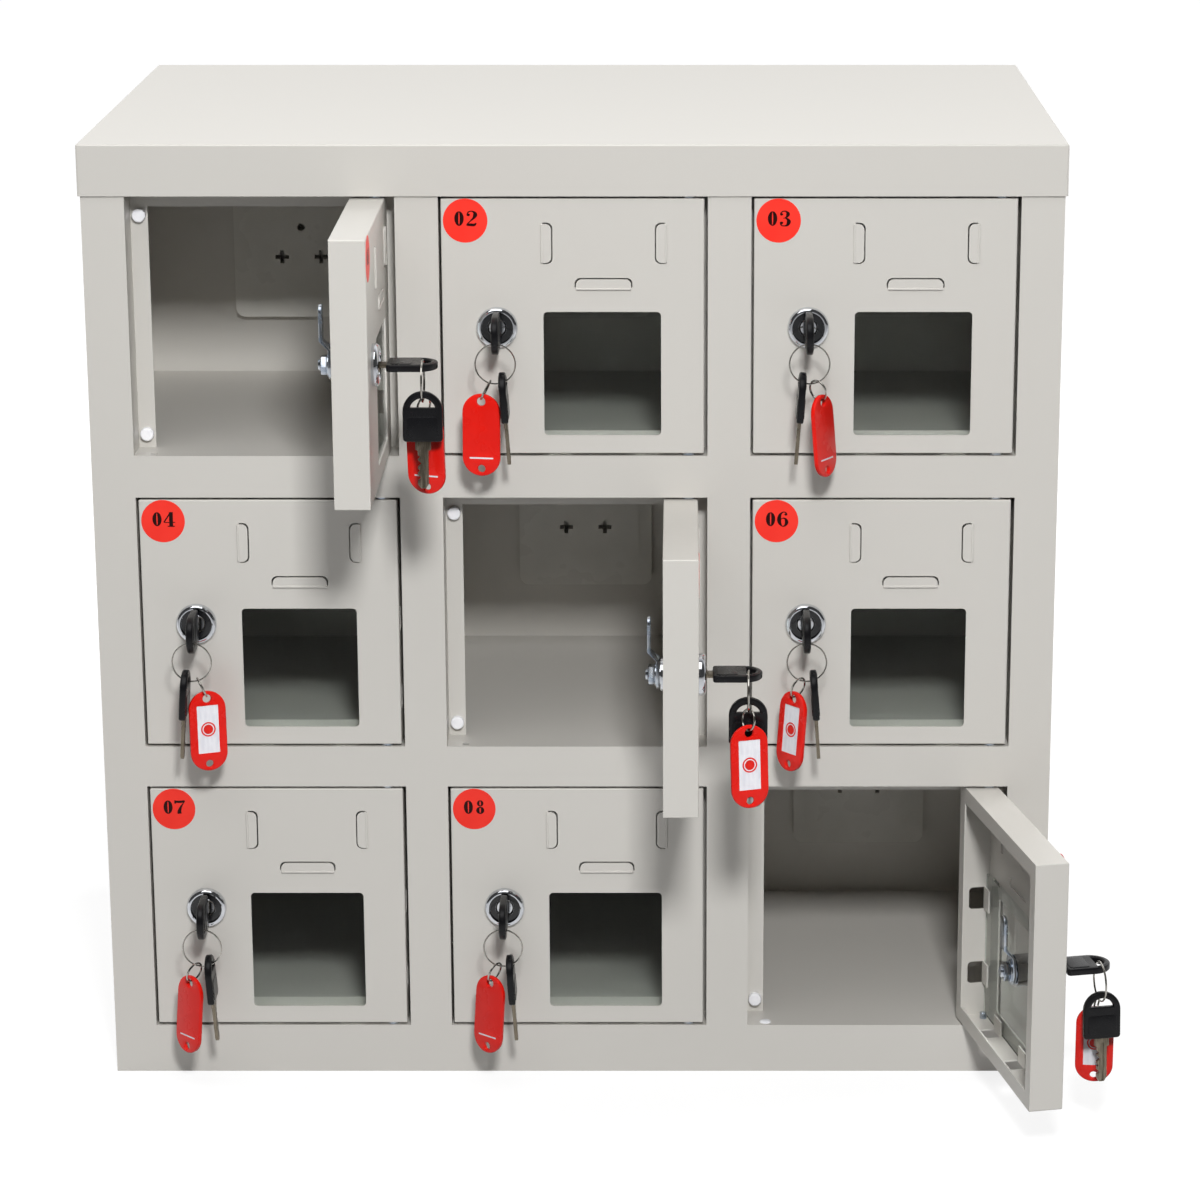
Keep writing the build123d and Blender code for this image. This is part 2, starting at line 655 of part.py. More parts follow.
with BuildPart() as cam:
    with BuildSketch(Plane.YZ):
        fold(
            (CAM_SEAT + CAM_CRANK, CAM_LENGTH),
            (CAM_SEAT + CAM_CRANK, CAM_CRANK_TO),
            (CAM_SEAT, CAM_CRANK_FROM),
            (CAM_SEAT, -CAM_ROOT_R),
            thickness=CAM_T,
        )
    extrude(amount=CAM_ROOT_R, both=True)
    with BuildSketch(Plane.XZ.offset(-CAM_SEAT)):
        with BuildLine():
            tip = CAM_TIP_W / 2
            Line((-CAM_ROOT_R, 0), (-tip, CAM_CRANK_TO))
            Line((-tip, CAM_CRANK_TO), (-tip, CAM_LENGTH - tip))
            ThreePointArc((-tip, CAM_LENGTH - tip), (0, CAM_LENGTH), (tip, CAM_LENGTH - tip))
            Line((tip, CAM_LENGTH - tip), (tip, CAM_CRANK_TO))
            Line((tip, CAM_CRANK_TO), (CAM_ROOT_R, 0))
            ThreePointArc((CAM_ROOT_R, 0), (0, -CAM_ROOT_R), (-CAM_ROOT_R, 0))
        make_face()
        Circle(SHANK_R + ROTOR_FIT, mode=Mode.SUBTRACT)
    extrude(amount=-(CAM_T + CAM_CRANK), mode=Mode.INTERSECT)

with BuildPart() as cam_nut:
    with BuildSketch(Plane.XZ.offset(-cam_back)):
        Circle(WASHER_R)
        Circle(SHANK_R + ROTOR_FIT, mode=Mode.SUBTRACT)
    extrude(amount=-WASHER_T)
    with BuildSketch(Plane.XZ.offset(-washer_back)):
        RegularPolygon(NUT_AF / 2, 6, major_radius=False)
        Circle(SHANK_R + ROTOR_FIT, mode=Mode.SUBTRACT)
    extrude(amount=-NUT_H)

# The key lies along -Y: its head's near end is at y 0 here, its blade reaches +Y, its width is on Z.
with BuildPart() as key:
    with BuildSketch(Plane.YZ):
        with BuildLine():
            Polyline(
                (-KEY_ROUND_AT, KEY_ROUND_R),
                (0, KEY_ROUND_R),
                (0, -KEY_ROUND_R),
                (-KEY_ROUND_AT, -KEY_ROUND_R),
            )
            ThreePointArc(
                (-KEY_ROUND_AT, -KEY_ROUND_R), (-KEY_L, 0), (-KEY_ROUND_AT, KEY_ROUND_R)
            )
        make_face()
    extrude(amount=KEY_T / 2, both=True)
    fillet(key.edges().filter_by(Axis.X), KEY_CORNER)
    chamfer(key.faces().filter_by(Plane.YZ).edges(), KEY_EDGE)
    with BuildSketch(Plane.YZ):
        with Locations((-KEY_ROUND_AT, 0)):
            Circle(KEY_LOOP_R)
        with Locations((-KEY_ROUND_AT + KEY_LOOP_R - KEY_LOOP_CUT, 0)):
            Rectangle(2 * KEY_LOOP_R, 2 * KEY_LOOP_R, mode=Mode.SUBTRACT)
    extrude(amount=KEY_T, both=True, mode=Mode.SUBTRACT)
    with BuildSketch(Plane.YZ):
        with BuildLine():
            Polyline(
                (0, -SHOULDER_W / 2),
                (SHOULDER_L, -SHOULDER_W / 2),
                (SHOULDER_L, -BLADE_W / 2),
                (BLADE_L - BLADE_TIP_L, -BLADE_W / 2),
                (BLADE_L, -BLADE_TIP_W / 2),
                (BLADE_L, BLADE_TIP_W / 2),
                (BLADE_L - BLADE_TIP_L, BLADE_W / 2),
                (SHOULDER_L, BLADE_W / 2),
                (SHOULDER_L, SHOULDER_W / 2),
                (0, SHOULDER_W / 2),
                close=True,
            )
        make_face()
        for along, depth in NOTCHES:
            with Locations((along, BLADE_W / 2)):
                Rectangle(2 * depth, 2 * depth, rotation=45, mode=Mode.SUBTRACT)
    extrude(amount=BLADE_T / 2, both=True)


# The tag lies on XY here, hung from the link's wire at 0, with its label to +Z.
tag_top = TAG_RIM + LINK_WIRE_R + LINK_AIR + TAG_PLAY
with BuildPart() as tag:
    with BuildSketch():
        with Locations((0, tag_top - TAG_L / 2)):
            SlotOverall(TAG_L, TAG_W, rotation=90)
    extrude(amount=TAG_T / 2, both=True)
    chamfer(tag.faces().filter_by(Plane.XY).edges(), TAG_EDGE)
    with Locations((0, tag_top - TAG_RIM - TAG_HOLE_R, TAG_T / 2)):
        Hole(TAG_HOLE_R, depth=TAG_T)
    with Locations((0, tag_top - TAG_L + TAG_RIM + TAG_FOOT_HOLE_R, TAG_T / 2)):
        Hole(TAG_FOOT_HOLE_R, depth=TAG_T)
    with BuildSketch(Plane.XY.offset(TAG_T / 2)):
        with Locations((0, tag_top - TAG_L / 2 + LABEL_LIFT)):
            RectangleRounded(LABEL_W, LABEL_L, LABEL_CORNER)
    extrude(amount=-LABEL_DEPTH, mode=Mode.SUBTRACT)


def key_bundle(tag_side, twist, label_front):
    """Ring, link, tag and spare key, in a frame with the ring's centre at 0 and its axis on Y.

    The spare key hangs on the side away from the tag, so that the two don't touch.
    """
    with BuildPart() as ring:
        Torus(RING_R, RING_WIRE_R, rotation=(90, 0, 0))

    key_angle = radians(-90 - tag_side * SPARE_ANGLE)
    hang = Location((RING_R * cos(key_angle), 0, RING_R * sin(key_angle) + SPARE_LIFT))
    spare_tilt = Location((0, 0, 0), (0, tag_side * SPARE_TILT, 0))
    spare_drop = Location((0, 0, -KEY_ROUND_AT - KEY_LOOP_R), (-90, 0, 0))
    spare_key = hang * spare_tilt * spare_drop * key.part

    link_angle = radians(-90 + tag_side * LINK_ANGLE)
    lean = radians(LINK_LEAN * (1 - twist / LINK_UPRIGHT))
    swing = radians(tag_side * twist * LINK_SHARE)
    down = Vector(tag_side * sin(lean), 0, -cos(lean))
    across = Vector(-sin(swing), cos(swing), 0)
    across = (across - down * across.dot(down)).normalized()
    hook = Vector(RING_R * cos(link_angle), 0, RING_R * sin(link_angle))
    middle = hook + down * (LINK_R - RING_WIRE_R - LINK_WIRE_R - LINK_AIR)
    with BuildPart(Plane(origin=middle, x_dir=down, z_dir=down.cross(across))) as link:
        Torus(LINK_R, LINK_WIRE_R)

    seat = middle + down * LINK_R
    turn = radians(tag_side * twist)
    tag_lean = radians(-tag_side * TAG_LEAN * (1 - twist / TAG_UPRIGHT))
    width_dir = Vector(cos(turn), sin(turn), 0)
    up = Vector(sin(tag_lean), 0, cos(tag_lean))
    up = (up - width_dir * up.dot(width_dir)).normalized()
    if not label_front:
        width_dir = -width_dir
    tag_place = Plane(origin=seat, x_dir=width_dir, z_dir=width_dir.cross(up)).location
    return [ring.part, link.part, tag_place * tag.part, spare_key]


# ---- doors, locks and keys in their places ----------------------------------------------------------------
door_nodes = []
for row in range(ROWS):
    for column in range(COLUMNS):
        number = row * COLUMNS + column + 1
        angle, tag_side, twist, label_front = HANGING[number]
        hinge = Location((pin_x[column], PIN_Y, opening_floor(row) + DOOR_GAP_V), (0, 0, angle))
        lock_axis = hinge * Location((LOCK_X, -PIN_SETBACK, LOCK_Z))
        key_turn = Location((0, 0, 0), (0, 90 if angle else 0, 0))
        key_seat = Location((0, -KEY_START, 0))
        if angle:
            ring_centre = Location((-RIM_MID, RING_Y, -RIM_DROP))
        else:
            ring_centre = Location((0, RING_Y, -RIM_MID - RIM_DROP))
        pieces = {
            "door": [hinge * door_pan.part],
            "window": [hinge * window_pane.part],
            "lock": [lock_axis * lock_housing.part, lock_axis * lock_nut.part],
            "cam_and_key": [
                lock_axis * key_turn * rotor.part,
                lock_axis * cam.part,
                lock_axis * cam_nut.part,
                lock_axis * key_turn * key_seat * key.part,
            ],
            "key_ring": [
                lock_axis * ring_centre * piece
                for piece in key_bundle(tag_side, twist, label_front)
            ],
        }
        for name, solids in pieces.items():
            node = Compound(children=[solid.solid() for solid in solids])
            node.label = f"{name}_{number:02d}"
            door_nodes.append(node)

cabinet = [
    side_panel_left, side_panel_right, base_tray, header_rail, dividers, socket_panel, back_cover,
    top_cover, charging_sockets, socket_wiring, power_inlet, hinge_pins, door_buffers,
]
for node in [piece.part for piece in cabinet] + shelves + door_nodes:
    export_step(node, f"parts/{node.label}.step")
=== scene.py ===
"""Looks of a nine-door phone charging locker: its finishes, and its numbers, locks, keys and tags.

Every mesh is drawn in millimetres and placed in metres. The doors face -Y and +Z is up.
"""

import json
import logging
import math
from dataclasses import dataclass, field
from enum import Enum
from typing import Iterable, Optional, Sequence

import bmesh
import bpy
from mathutils import Matrix, Vector


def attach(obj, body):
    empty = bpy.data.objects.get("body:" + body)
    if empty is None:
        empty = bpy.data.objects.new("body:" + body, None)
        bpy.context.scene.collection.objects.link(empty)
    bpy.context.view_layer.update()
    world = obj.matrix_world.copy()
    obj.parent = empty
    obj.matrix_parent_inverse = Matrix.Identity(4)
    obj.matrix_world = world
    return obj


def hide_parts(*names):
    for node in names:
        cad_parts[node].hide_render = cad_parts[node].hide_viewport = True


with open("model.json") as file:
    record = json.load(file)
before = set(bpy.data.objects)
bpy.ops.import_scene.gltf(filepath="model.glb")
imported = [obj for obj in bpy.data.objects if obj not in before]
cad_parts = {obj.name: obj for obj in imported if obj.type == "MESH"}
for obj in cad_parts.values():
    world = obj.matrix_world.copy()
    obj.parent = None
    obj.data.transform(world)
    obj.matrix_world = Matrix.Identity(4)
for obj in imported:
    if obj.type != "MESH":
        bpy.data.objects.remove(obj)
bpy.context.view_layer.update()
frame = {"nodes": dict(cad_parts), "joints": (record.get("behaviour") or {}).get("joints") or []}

log = logging.getLogger("locker")

Point = tuple[float, float]
Station = tuple[float, float, float]
Body = bmesh.types.BMesh
Mesh = bpy.types.Mesh
Meshes = dict[str, Mesh]
Tree = bpy.types.NodeTree
Node = bpy.types.Node
Socket = bpy.types.NodeSocket

MM = 0.001
WELD = 1e-4  # mm: points nearer than this are one
CUTTER_OVER = 1.0  # mm that a cutter stands out of what it cuts
DOOR_COUNT = 9
SMOOTH_ANGLE = math.radians(32)
WHITE = (1.0, 1.0, 1.0, 1.0)
JOINTS = {joint["name"]: joint for joint in frame["joints"]}


# ---- small tools -----------------------------------------------------
def linear(code: str) -> tuple[float, float, float, float]:
    """Turn an sRGB hex colour into linear light.

    Args:
        code: colour such as "#D5D2CB".

    Returns:
        Red, green, blue and an alpha of 1.
    """
    shares = [int(code[i : i + 2], 16) / 255 for i in (1, 3, 5)]
    red, green, blue = (s / 12.92 if s <= 0.04045 else ((s + 0.055) / 1.055) ** 2.4 for s in shares)
    return red, green, blue, 1.0


def per_metre(size_mm: float) -> float:
    """Give the noise scale at which one blot is about size_mm across."""
    return 1000 / size_mm


def add_node(tree: Tree, kind: str, inputs: Optional[dict] = None, **settings: object) -> Node:
    """Add a node with its settings and links.

    Args:
        tree: node tree it goes into.
        kind: Blender's name of the node type.
        inputs: socket name or number to a value, or to the output that feeds it.
        **settings: the node's own properties.

    Returns:
        The new node.
    """
    node = tree.nodes.new(kind)
    for name, value in settings.items():
        setattr(node, name, value)
    for socket, value in (inputs or {}).items():
        if isinstance(value, Socket):
            tree.links.new(value, node.inputs[socket])
        else:
            node.inputs[socket].default_value = value
    return node


def empty_tree(owner: bpy.types.ID) -> Tree:
    """Give the node tree of a new material or world, emptied.

    Args:
        owner: the material or world.

    Returns:
        Its tree.
    """
    owner.use_nodes = True
    owner.node_tree.nodes.clear()
    return owner.node_tree


# ---- finishes --------------------------------------------------------
@dataclass(frozen=True)
class Finish:
    """What all finishes share: a colour that drifts a little, a gloss and a fine relief.

    Attributes:
        name: the material's name.
        colour: main colour, sRGB hex.
        drift: colour that the main one drifts to, sRGB hex.
        drift_mm: size of one patch of that drift.
        grain_mm: size of one bump of the relief.
        relief_mm: height of the relief.
        roughness: middle of the roughness.
        spread: how far the roughness moves either way.
        metallic: 1 for bare metal.
        ior: index of refraction, left at the shader's own value for metals.
        gleam: specular level, 0.5 being the plain one.
        stretch: how much longer a patch is along X, Y and Z.
        span: noise values that stand for no drift and for full drift.
        drift_detail: layers of finer noise in the drift.
        grain_detail: layers of finer noise in the relief.
    """

    name: str
    colour: str
    drift: str
    drift_mm: float
    grain_mm: float
    relief_mm: float
    roughness: float
    spread: float = 0.03
    metallic: float = 0.0
    ior: float = 1.5
    gleam: float = 0.5
    stretch: Station = (1.0, 1.0, 1.0)
    span: Point = (0.35, 0.65)
    drift_detail: float = 3.0
    grain_detail: float = 2.0

    def extras(self) -> dict:
        """Give further constants for the shader's own sockets."""
        return {}

    def ground(self, tree: Tree) -> Optional[Socket]:
        """Give the normal that the relief starts from, if it isn't the plain one."""
        return None

    def surface(self, tree: Tree, shader: Node) -> Socket:
        """Give the shader output that goes to the surface."""
        return shader.outputs[0]

    def material(self) -> bpy.types.Material:
        """Make the material, once for each finish.

        Returns:
            The material with its nodes.
        """
        made = bpy.data.materials.get(self.name)
        if made:
            return made
        made = bpy.data.materials.new(self.name)
        tree = empty_tree(made)
        place = add_node(tree, "ShaderNodeTexCoord").outputs["Object"]
        scale = tuple(1 / s for s in self.stretch)
        place = add_node(tree, "ShaderNodeMapping", {"Vector": place, "Scale": scale}).outputs[0]
        patches, grain = (
            add_node(
                tree,
                "ShaderNodeTexNoise",
                {"Vector": place, "Scale": per_metre(size), "Detail": detail},
            ).outputs[0]
            for size, detail in (
                (self.drift_mm, self.drift_detail), (self.grain_mm, self.grain_detail)
            )
        )
        low, high = self.span
        share = add_node(tree, "ShaderNodeMapRange", {0: patches, 1: low, 2: high}).outputs[0]
        tone = add_node(
            tree,
            "ShaderNodeMix",
            {0: share, 6: linear(self.colour), 7: linear(self.drift)},
            data_type="RGBA",
        ).outputs[2]
        gloss = add_node(
            tree,
            "ShaderNodeMapRange",
            {0: share, 3: self.roughness - self.spread, 4: self.roughness + self.spread},
        ).outputs[0]
        bump = {"Height": grain, "Distance": self.relief_mm * MM, "Strength": 1.0}
        ground = self.ground(tree)
        if ground:
            bump["Normal"] = ground
        sockets = {
            "Base Color": tone,
            "Roughness": gloss,
            "Normal": add_node(tree, "ShaderNodeBump", bump).outputs[0],
            "Metallic": self.metallic,
            **self.extras(),
        }
        if not self.metallic:
            sockets["IOR"] = self.ior
            sockets["Specular IOR Level"] = self.gleam
        shader = add_node(tree, "ShaderNodeBsdfPrincipled", sockets)
        add_node(tree, "ShaderNodeOutputMaterial", {"Surface": self.surface(tree, shader)})
        return made


@dataclass(frozen=True)
class PowderCoat(Finish):
    """Baked polyester powder on folded steel: satin, its soft folds catching a thin light line."""

    fold_mm: float = 0.7
    samples: int = 4

    def ground(self, tree: Tree) -> Optional[Socket]:
        """Round the folds, which the coat fills to a small radius."""
        inputs = {"Radius": self.fold_mm * MM}
        return add_node(tree, "ShaderNodeBevel", inputs, samples=self.samples).outputs[0]


@dataclass(frozen=True)
class Acrylic(Finish):
    """Cast acrylic sheet: clear and glossy, and light passes it without a hard shadow."""

    def extras(self) -> dict:
        """Let light through the sheet."""
        return {"Transmission Weight": 1.0}

    def surface(self, tree: Tree, shader: Node) -> Socket:
        """Let shadow rays pass, so that the compartment behind is lit.

        Args:
            tree: the material's node tree.
            shader: shader of the sheet.

        Returns:
            The shader output that goes to the surface.
        """
        clear = add_node(tree, "ShaderNodeBsdfTransparent", {"Color": linear(self.colour)})
        ray = add_node(tree, "ShaderNodeLightPath").outputs["Is Shadow Ray"]
        both = {0: ray, 1: shader.outputs[0], 2: clear.outputs[0]}
        return add_node(tree, "ShaderNodeMixShader", both).outputs[0]


@dataclass(frozen=True)
class GlossCoat(Finish):
    """A pigmented surface under a clear glossy skin, as on lacquer or a laminated film."""

    coat: float = 0.5
    skin_roughness: float = 0.06

    def extras(self) -> dict:
        """Lay the clear skin on top."""
        return {"Coat Weight": self.coat, "Coat Roughness": self.skin_roughness}


# Light grey polyester powder, sprayed and baked: satin, its orange peel drawn at the real 1.4 mm.
POWDER = PowderCoat("powder_coat", "#D7D4CC", "#D3D0C8", 90, 1.4, 0.010, 0.5, 0.03, gleam=0.3)
# Cast acrylic, polished: nearly unseen, its reflection toned down to what a thin clear pane shows.
PANE = Acrylic("cast_acrylic", "#E4E7E5", "#E0E4E2", 60, 8, 0.001, 0.03, 0.01, ior=1.12)
# Zinc alloy with bright chrome plate: mirror-like, cool.
CHROME = Finish("chrome_plate", "#DDDFE3", "#CFD2D8", 6, 1.2, 0.0015, 0.07, 0.02, 1.0)
# Steel with clear-passivated zinc plate: bright with a blue cast and a slightly uneven gloss.
ZINC = Finish("zinc_plate", "#CBD0D6", "#AAB6C6", 5, 0.8, 0.004, 0.24, 0.06, 1.0)
# Spring steel with nickel plate: bright and a little warm.
NICKEL = Finish("nickel_plate", "#C2BFB9", "#A9A6A0", 4, 0.6, 0.002, 0.14, 0.04, 1.0)
# Nickel silver, milled: bronze-grey, with cutter lines along the blade, drawn at 0.3 mm to show.
KEY_METAL = Finish(
    "milled_nickel_silver", "#8E8576", "#746B5D", 0.6, 0.3, 0.006, 0.3, 0.06, 1.0,
    stretch=(1, 12, 1),
)
# ABS, moulded black: soft sheen with a fine spark-eroded texture.
HEAD_ABS = Finish(
    "moulded_abs_black", "#131315", "#0E0E10", 9, 0.5, 0.012, 0.3, 0.04, ior=1.54, gleam=0.22
)
# Polypropylene, moulded red: waxy gloss and an even, strong colour.
TAG_PP = Finish(
    "moulded_polypropylene_red", "#DC1C12", "#CF160D", 14, 2.5, 0.010, 0.26, 0.04,
    ior=1.49, gleam=0.35,
)
# Urea resin, pressed white: smooth and slightly warm.
SOCKET_UREA = Finish(
    "pressed_urea_white", "#E9E7E1", "#E3E1DA", 40, 1.6, 0.004, 0.3, 0.03, ior=1.55
)
# PVC, extruded grey: dull with faint lines along the run.
DUCT_PVC = Finish(
    "extruded_pvc", "#CFCFCC", "#C7C8C6", 30, 1.0, 0.010, 0.46, 0.03, stretch=(10, 1, 1)
)
# Glass-filled nylon, moulded black: matt, with a fine grain.
INLET_NYLON = Finish(
    "moulded_nylon_black", "#1D1E20", "#161719", 12, 0.7, 0.020, 0.5, 0.04, ior=1.53
)
# Silicone, moulded white: milky with a soft sheen.
BUFFER_SILICONE = Finish(
    "moulded_silicone", "#EAEAED", "#E2E2E6", 5, 0.8, 0.006, 0.38, 0.04, ior=1.41
)
# Calendered vinyl film, red, with a laminate: flat, bright and glossy.
STICKER_VINYL = GlossCoat(
    "vinyl_film_red", "#EF382C", "#E93227", 20, 3.0, 0.004, 0.4, 0.03, gleam=0.3, coat=0.1
)
# Screen ink, near-black with a red cast: flat and slightly raised.
NUMBER_INK = GlossCoat(
    "screen_ink_dark", "#250707", "#1B0505", 3, 0.5, 0.004, 0.45, 0.04, gleam=0.2, coat=0.0
)
# Uncoated paper: cool white and matt, its fibres drawn at 0.8 mm to show.
LABEL_PAPER = Finish(
    "uncoated_paper", "#E3E3E8", "#D7D7DE", 2.5, 0.8, 0.010, 0.85, 0.04, stretch=(1, 1, 3)
)
# Offset ink, red, on the paper: flat.
MARK_INK = Finish("offset_ink_red", "#D9241B", "#C91E16", 2, 0.8, 0.006, 0.6, 0.04)
# Painted reflection: a dark glossy ring inside the lock's chrome rim, standing for the dark room
# that the rim's flat chrome face mirrors.
LOCK_PAINTED_REFLECTION = GlossCoat("painted_dark_reflection", "#141518", "#0E0F11", 7, 2.0, 0.002, 0.2, coat=0.3)


# ---- mesh making -----------------------------------------------------
def arc(centre: Point, radius: float, start: float, end: float, steps: int = 16) -> list[Point]:
    """Give the points of an arc.

    Args:
        centre: middle of the circle.
        radius: its radius.
        start: first angle, in degrees.
        end: last angle, in degrees.
        steps: number of straight pieces.

    Returns:
        The points, both ends among them.
    """
    angles = (math.radians(start + (end - start) * i / steps) for i in range(steps + 1))
    return [(centre[0] + radius * math.cos(a), centre[1] + radius * math.sin(a)) for a in angles]


def circle(centre: Point, radius: float, steps: int = 40) -> list[Point]:
    """Give the points of a whole circle."""
    return arc(centre, radius, 0, 360, steps)[:-1]


def rounded_box(
    centre: Point, width: float, height: float, corner: float, steps: int = 6
) -> list[Point]:
    """Give the outline of a rectangle with round corners.

    Args:
        centre: its middle.
        width: size along the first axis.
        height: size along the second axis.
        corner: corner radius.
        steps: number of straight pieces of a corner.

    Returns:
        The outline's points, anticlockwise.
    """
    right, up = width / 2 - corner, height / 2 - corner
    turns = ((right, up, 0), (-right, up, 90), (-right, -up, 180), (right, -up, 270))
    return [
        point
        for x, y, angle in turns
        for point in arc((centre[0] + x, centre[1] + y), corner, angle, angle + 90, steps)
    ]


def lathe(profile: Sequence[Point], closed: bool = False, steps: int = 56) -> Body:
    """Turn a profile round the Y axis.

    Args:
        profile: (radius, y) points.
        closed: join the last point to the first, for a ring.
        steps: number of faces round the axis.

    Returns:
        The turned body.
    """
    body = bmesh.new()
    turns = [2 * math.pi * i / steps for i in range(steps)]
    rings = [
        [
            body.verts.new((radius * math.cos(t), along, radius * math.sin(t)))
            for t in (turns if radius else turns[:1])
        ]
        for radius, along in profile
    ]
    for near, far in zip(rings, rings[1:] + (rings[:1] if closed else [])):
        for i in range(steps):
            j = (i + 1) % steps
            turn = ((near, i), (near, j), (far, j), (far, i))
            corners = dict.fromkeys(ring[k % len(ring)] for ring, k in turn)
            body.faces.new(list(corners))
    bmesh.ops.recalc_face_normals(body, faces=body.faces)
    return body


def linked(name: str, data: bpy.types.ID) -> bpy.types.Object:
    """Make an object and add it to the scene.

    Args:
        name: the object's name.
        data: what it shows.

    Returns:
        The object.
    """
    holder = bpy.data.objects.new(name, data)
    bpy.context.scene.collection.objects.link(holder)
    return holder


def evaluated(holder: bpy.types.Object) -> Body:
    """Give an object's shape as it is after its modifiers.

    Args:
        holder: the object.

    Returns:
        A body of its own.
    """
    bpy.context.view_layer.update()
    graph = bpy.context.evaluated_depsgraph_get()
    mesh = bpy.data.meshes.new_from_object(holder.evaluated_get(graph))
    body = bmesh.new()
    body.from_mesh(mesh)
    bpy.data.meshes.remove(mesh)
    return body


def mesh_of(name: str, body: Body) -> Mesh:
    """Turn a body into a mesh.

    Args:
        name: the mesh's name.
        body: the body, which is freed.

    Returns:
        The mesh.
    """
    mesh = bpy.data.meshes.new(name)
    body.to_mesh(mesh)
    body.free()
    return mesh


def curve_of(
    dimensions: str, lines: Iterable[Sequence[Station]], closed: bool, bevel: float, steps: int
) -> bpy.types.Curve:
    """Draw a curve of straight pieces.

    Args:
        dimensions: "2D" for a flat one, or "3D".
        lines: the points of each of its lines.
        closed: join the ends of each line.
        bevel: radius that it is thickened by.
        steps: steps of a quarter of that round.

    Returns:
        The curve's data.
    """
    curve = bpy.data.curves.new("drawing", "CURVE")
    curve.dimensions = dimensions
    curve.bevel_depth = bevel
    curve.bevel_resolution = steps
    for line in lines:
        spline = curve.splines.new("POLY")
        spline.points.add(len(line) - 1)
        for point, place in zip(spline.points, line):
            point.co = (*place, 1)
        spline.use_cyclic_u = closed
    return curve


def from_curve(curve: bpy.types.Curve) -> Body:
    """Turn a curve into a body and remove the curve.

    Args:
        curve: curve data with its thickness set.

    Returns:
        The welded body.
    """
    holder = linked("drawing", curve)
    body = evaluated(holder)
    bpy.data.objects.remove(holder)
    bpy.data.curves.remove(curve)
    bmesh.ops.remove_doubles(body, verts=body.verts, dist=WELD)
    bmesh.ops.recalc_face_normals(body, faces=body.faces)
    return body


def plate(
    outline: Sequence[Point],
    holes: Iterable[Sequence[Point]],
    front: float,
    back: float,
    edge: float = 0.0,
) -> Body:
    """Make a flat plate with holes and rounded edges, seen from -Y.

    Args:
        outline: (x, z) points of its edge.
        holes: (x, z) points of each hole.
        front: y of the face at -Y.
        back: y of the other face.
        edge: radius of its rounded edges.

    Returns:
        The plate.
    """
    loops = [[(x, z, 0) for x, z in loop] for loop in (outline, *holes)]
    curve = curve_of("2D", loops, closed=True, bevel=edge, steps=2)
    curve.fill_mode = "BOTH"
    curve.extrude = (back - front) / 2 - edge
    curve.offset = -edge
    body = from_curve(curve)
    middle = Matrix.Translation((0, (front + back) / 2, 0))
    body.transform(middle @ turned(90, "X"))
    return body


def wire(points: Sequence[Station], radius: float) -> Body:
    """Make a round wire along a line.

    Args:
        points: the wire's middle line.
        radius: the wire's radius.

    Returns:
        The wire.
    """
    curve = curve_of("3D", [points], closed=False, bevel=radius, steps=3)
    curve.use_fill_caps = True
    return from_curve(curve)


def recess(
    body: Body, thick: float, depth: float, front: Sequence[Point], back: Sequence[Point]
) -> Body:
    """Sink one outline into each face of a plate.

    Args:
        body: the plate, its middle at y = 0. It is freed.
        thick: its thickness.
        depth: depth of both recesses.
        front: (x, z) outline of the one in the face at -Y.
        back: outline of the one in the other face.

    Returns:
        The plate with its recesses.
    """
    outside, floor = thick / 2 + CUTTER_OVER, thick / 2 - depth
    shapes = (body, plate(front, [], -outside, -floor), plate(back, [], floor, outside))
    holders = [linked("cut", mesh_of("cut", shape)) for shape in shapes]
    for cutter in holders[1:]:
        cut = holders[0].modifiers.new("cut", "BOOLEAN")
        cut.operation = "DIFFERENCE"
        cut.solver = "EXACT"
        cut.object = cutter
    made = evaluated(holders[0])
    for mesh in [holder.data for holder in holders]:
        bpy.data.meshes.remove(mesh)
    return made


def join(bodies: Iterable[Body]) -> Body:
    """Put several bodies into one.

    Args:
        bodies: the bodies, which are freed.

    Returns:
        The one body.
    """
    made = bmesh.new()
    for body in bodies:
        mesh = mesh_of("join", body)
        made.from_mesh(mesh)
        bpy.data.meshes.remove(mesh)
    return made


def finished(name: str, body: Body, finish: Finish) -> Mesh:
    """Turn a body in millimetres into a mesh in metres with its finish.

    Args:
        name: the mesh's name.
        body: the body, which is freed.
        finish: what it is dressed with.

    Returns:
        The mesh, smooth but for its hard edges.
    """
    body.transform(Matrix.Scale(MM, 4))
    for face in body.faces:
        face.smooth = True
    for edge in body.edges:
        edge.smooth = len(edge.link_faces) == 2 and edge.calc_face_angle() < SMOOTH_ANGLE
    mesh = mesh_of(name, body)
    mesh.materials.append(finish.material())
    return mesh


def put(name: str, mesh: Mesh, place: Matrix, body: str) -> bpy.types.Object:
    """Place a mesh in the row frame and let it ride on a body.

    Args:
        name: the piece's name.
        mesh: its mesh, which other pieces may share.
        place: where it goes, in metres.
        body: CAD body that carries it.

    Returns:
        The piece.
    """
    piece = linked(name, mesh)
    piece.matrix_world = place
    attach(piece, body)
    log.info("%s rides on %s", name, body)
    return piece


def at(x: float, y: float, z: float) -> Matrix:
    """Give the shift by a distance in millimetres."""
    return Matrix.Translation(Vector((x, y, z)) * MM)


def turned(degrees: float, axis: str) -> Matrix:
    """Give a turn about one axis."""
    return Matrix.Rotation(math.radians(degrees), 4, axis)


def axes(across: Vector, into: Vector, up: Vector, origin: Vector) -> Matrix:
    """Give the place that has these axes.

    Args:
        across: its X axis.
        into: its Y axis.
        up: its Z axis.
        origin: its origin, in metres.

    Returns:
        The place.
    """
    place = Matrix((across, into, up)).transposed().to_4x4()
    place.translation = origin
    return place


def joint_at(name: str) -> Vector:
    """Give the place of a joint, in metres."""
    return Vector(JOINTS[name]["pos_m"])


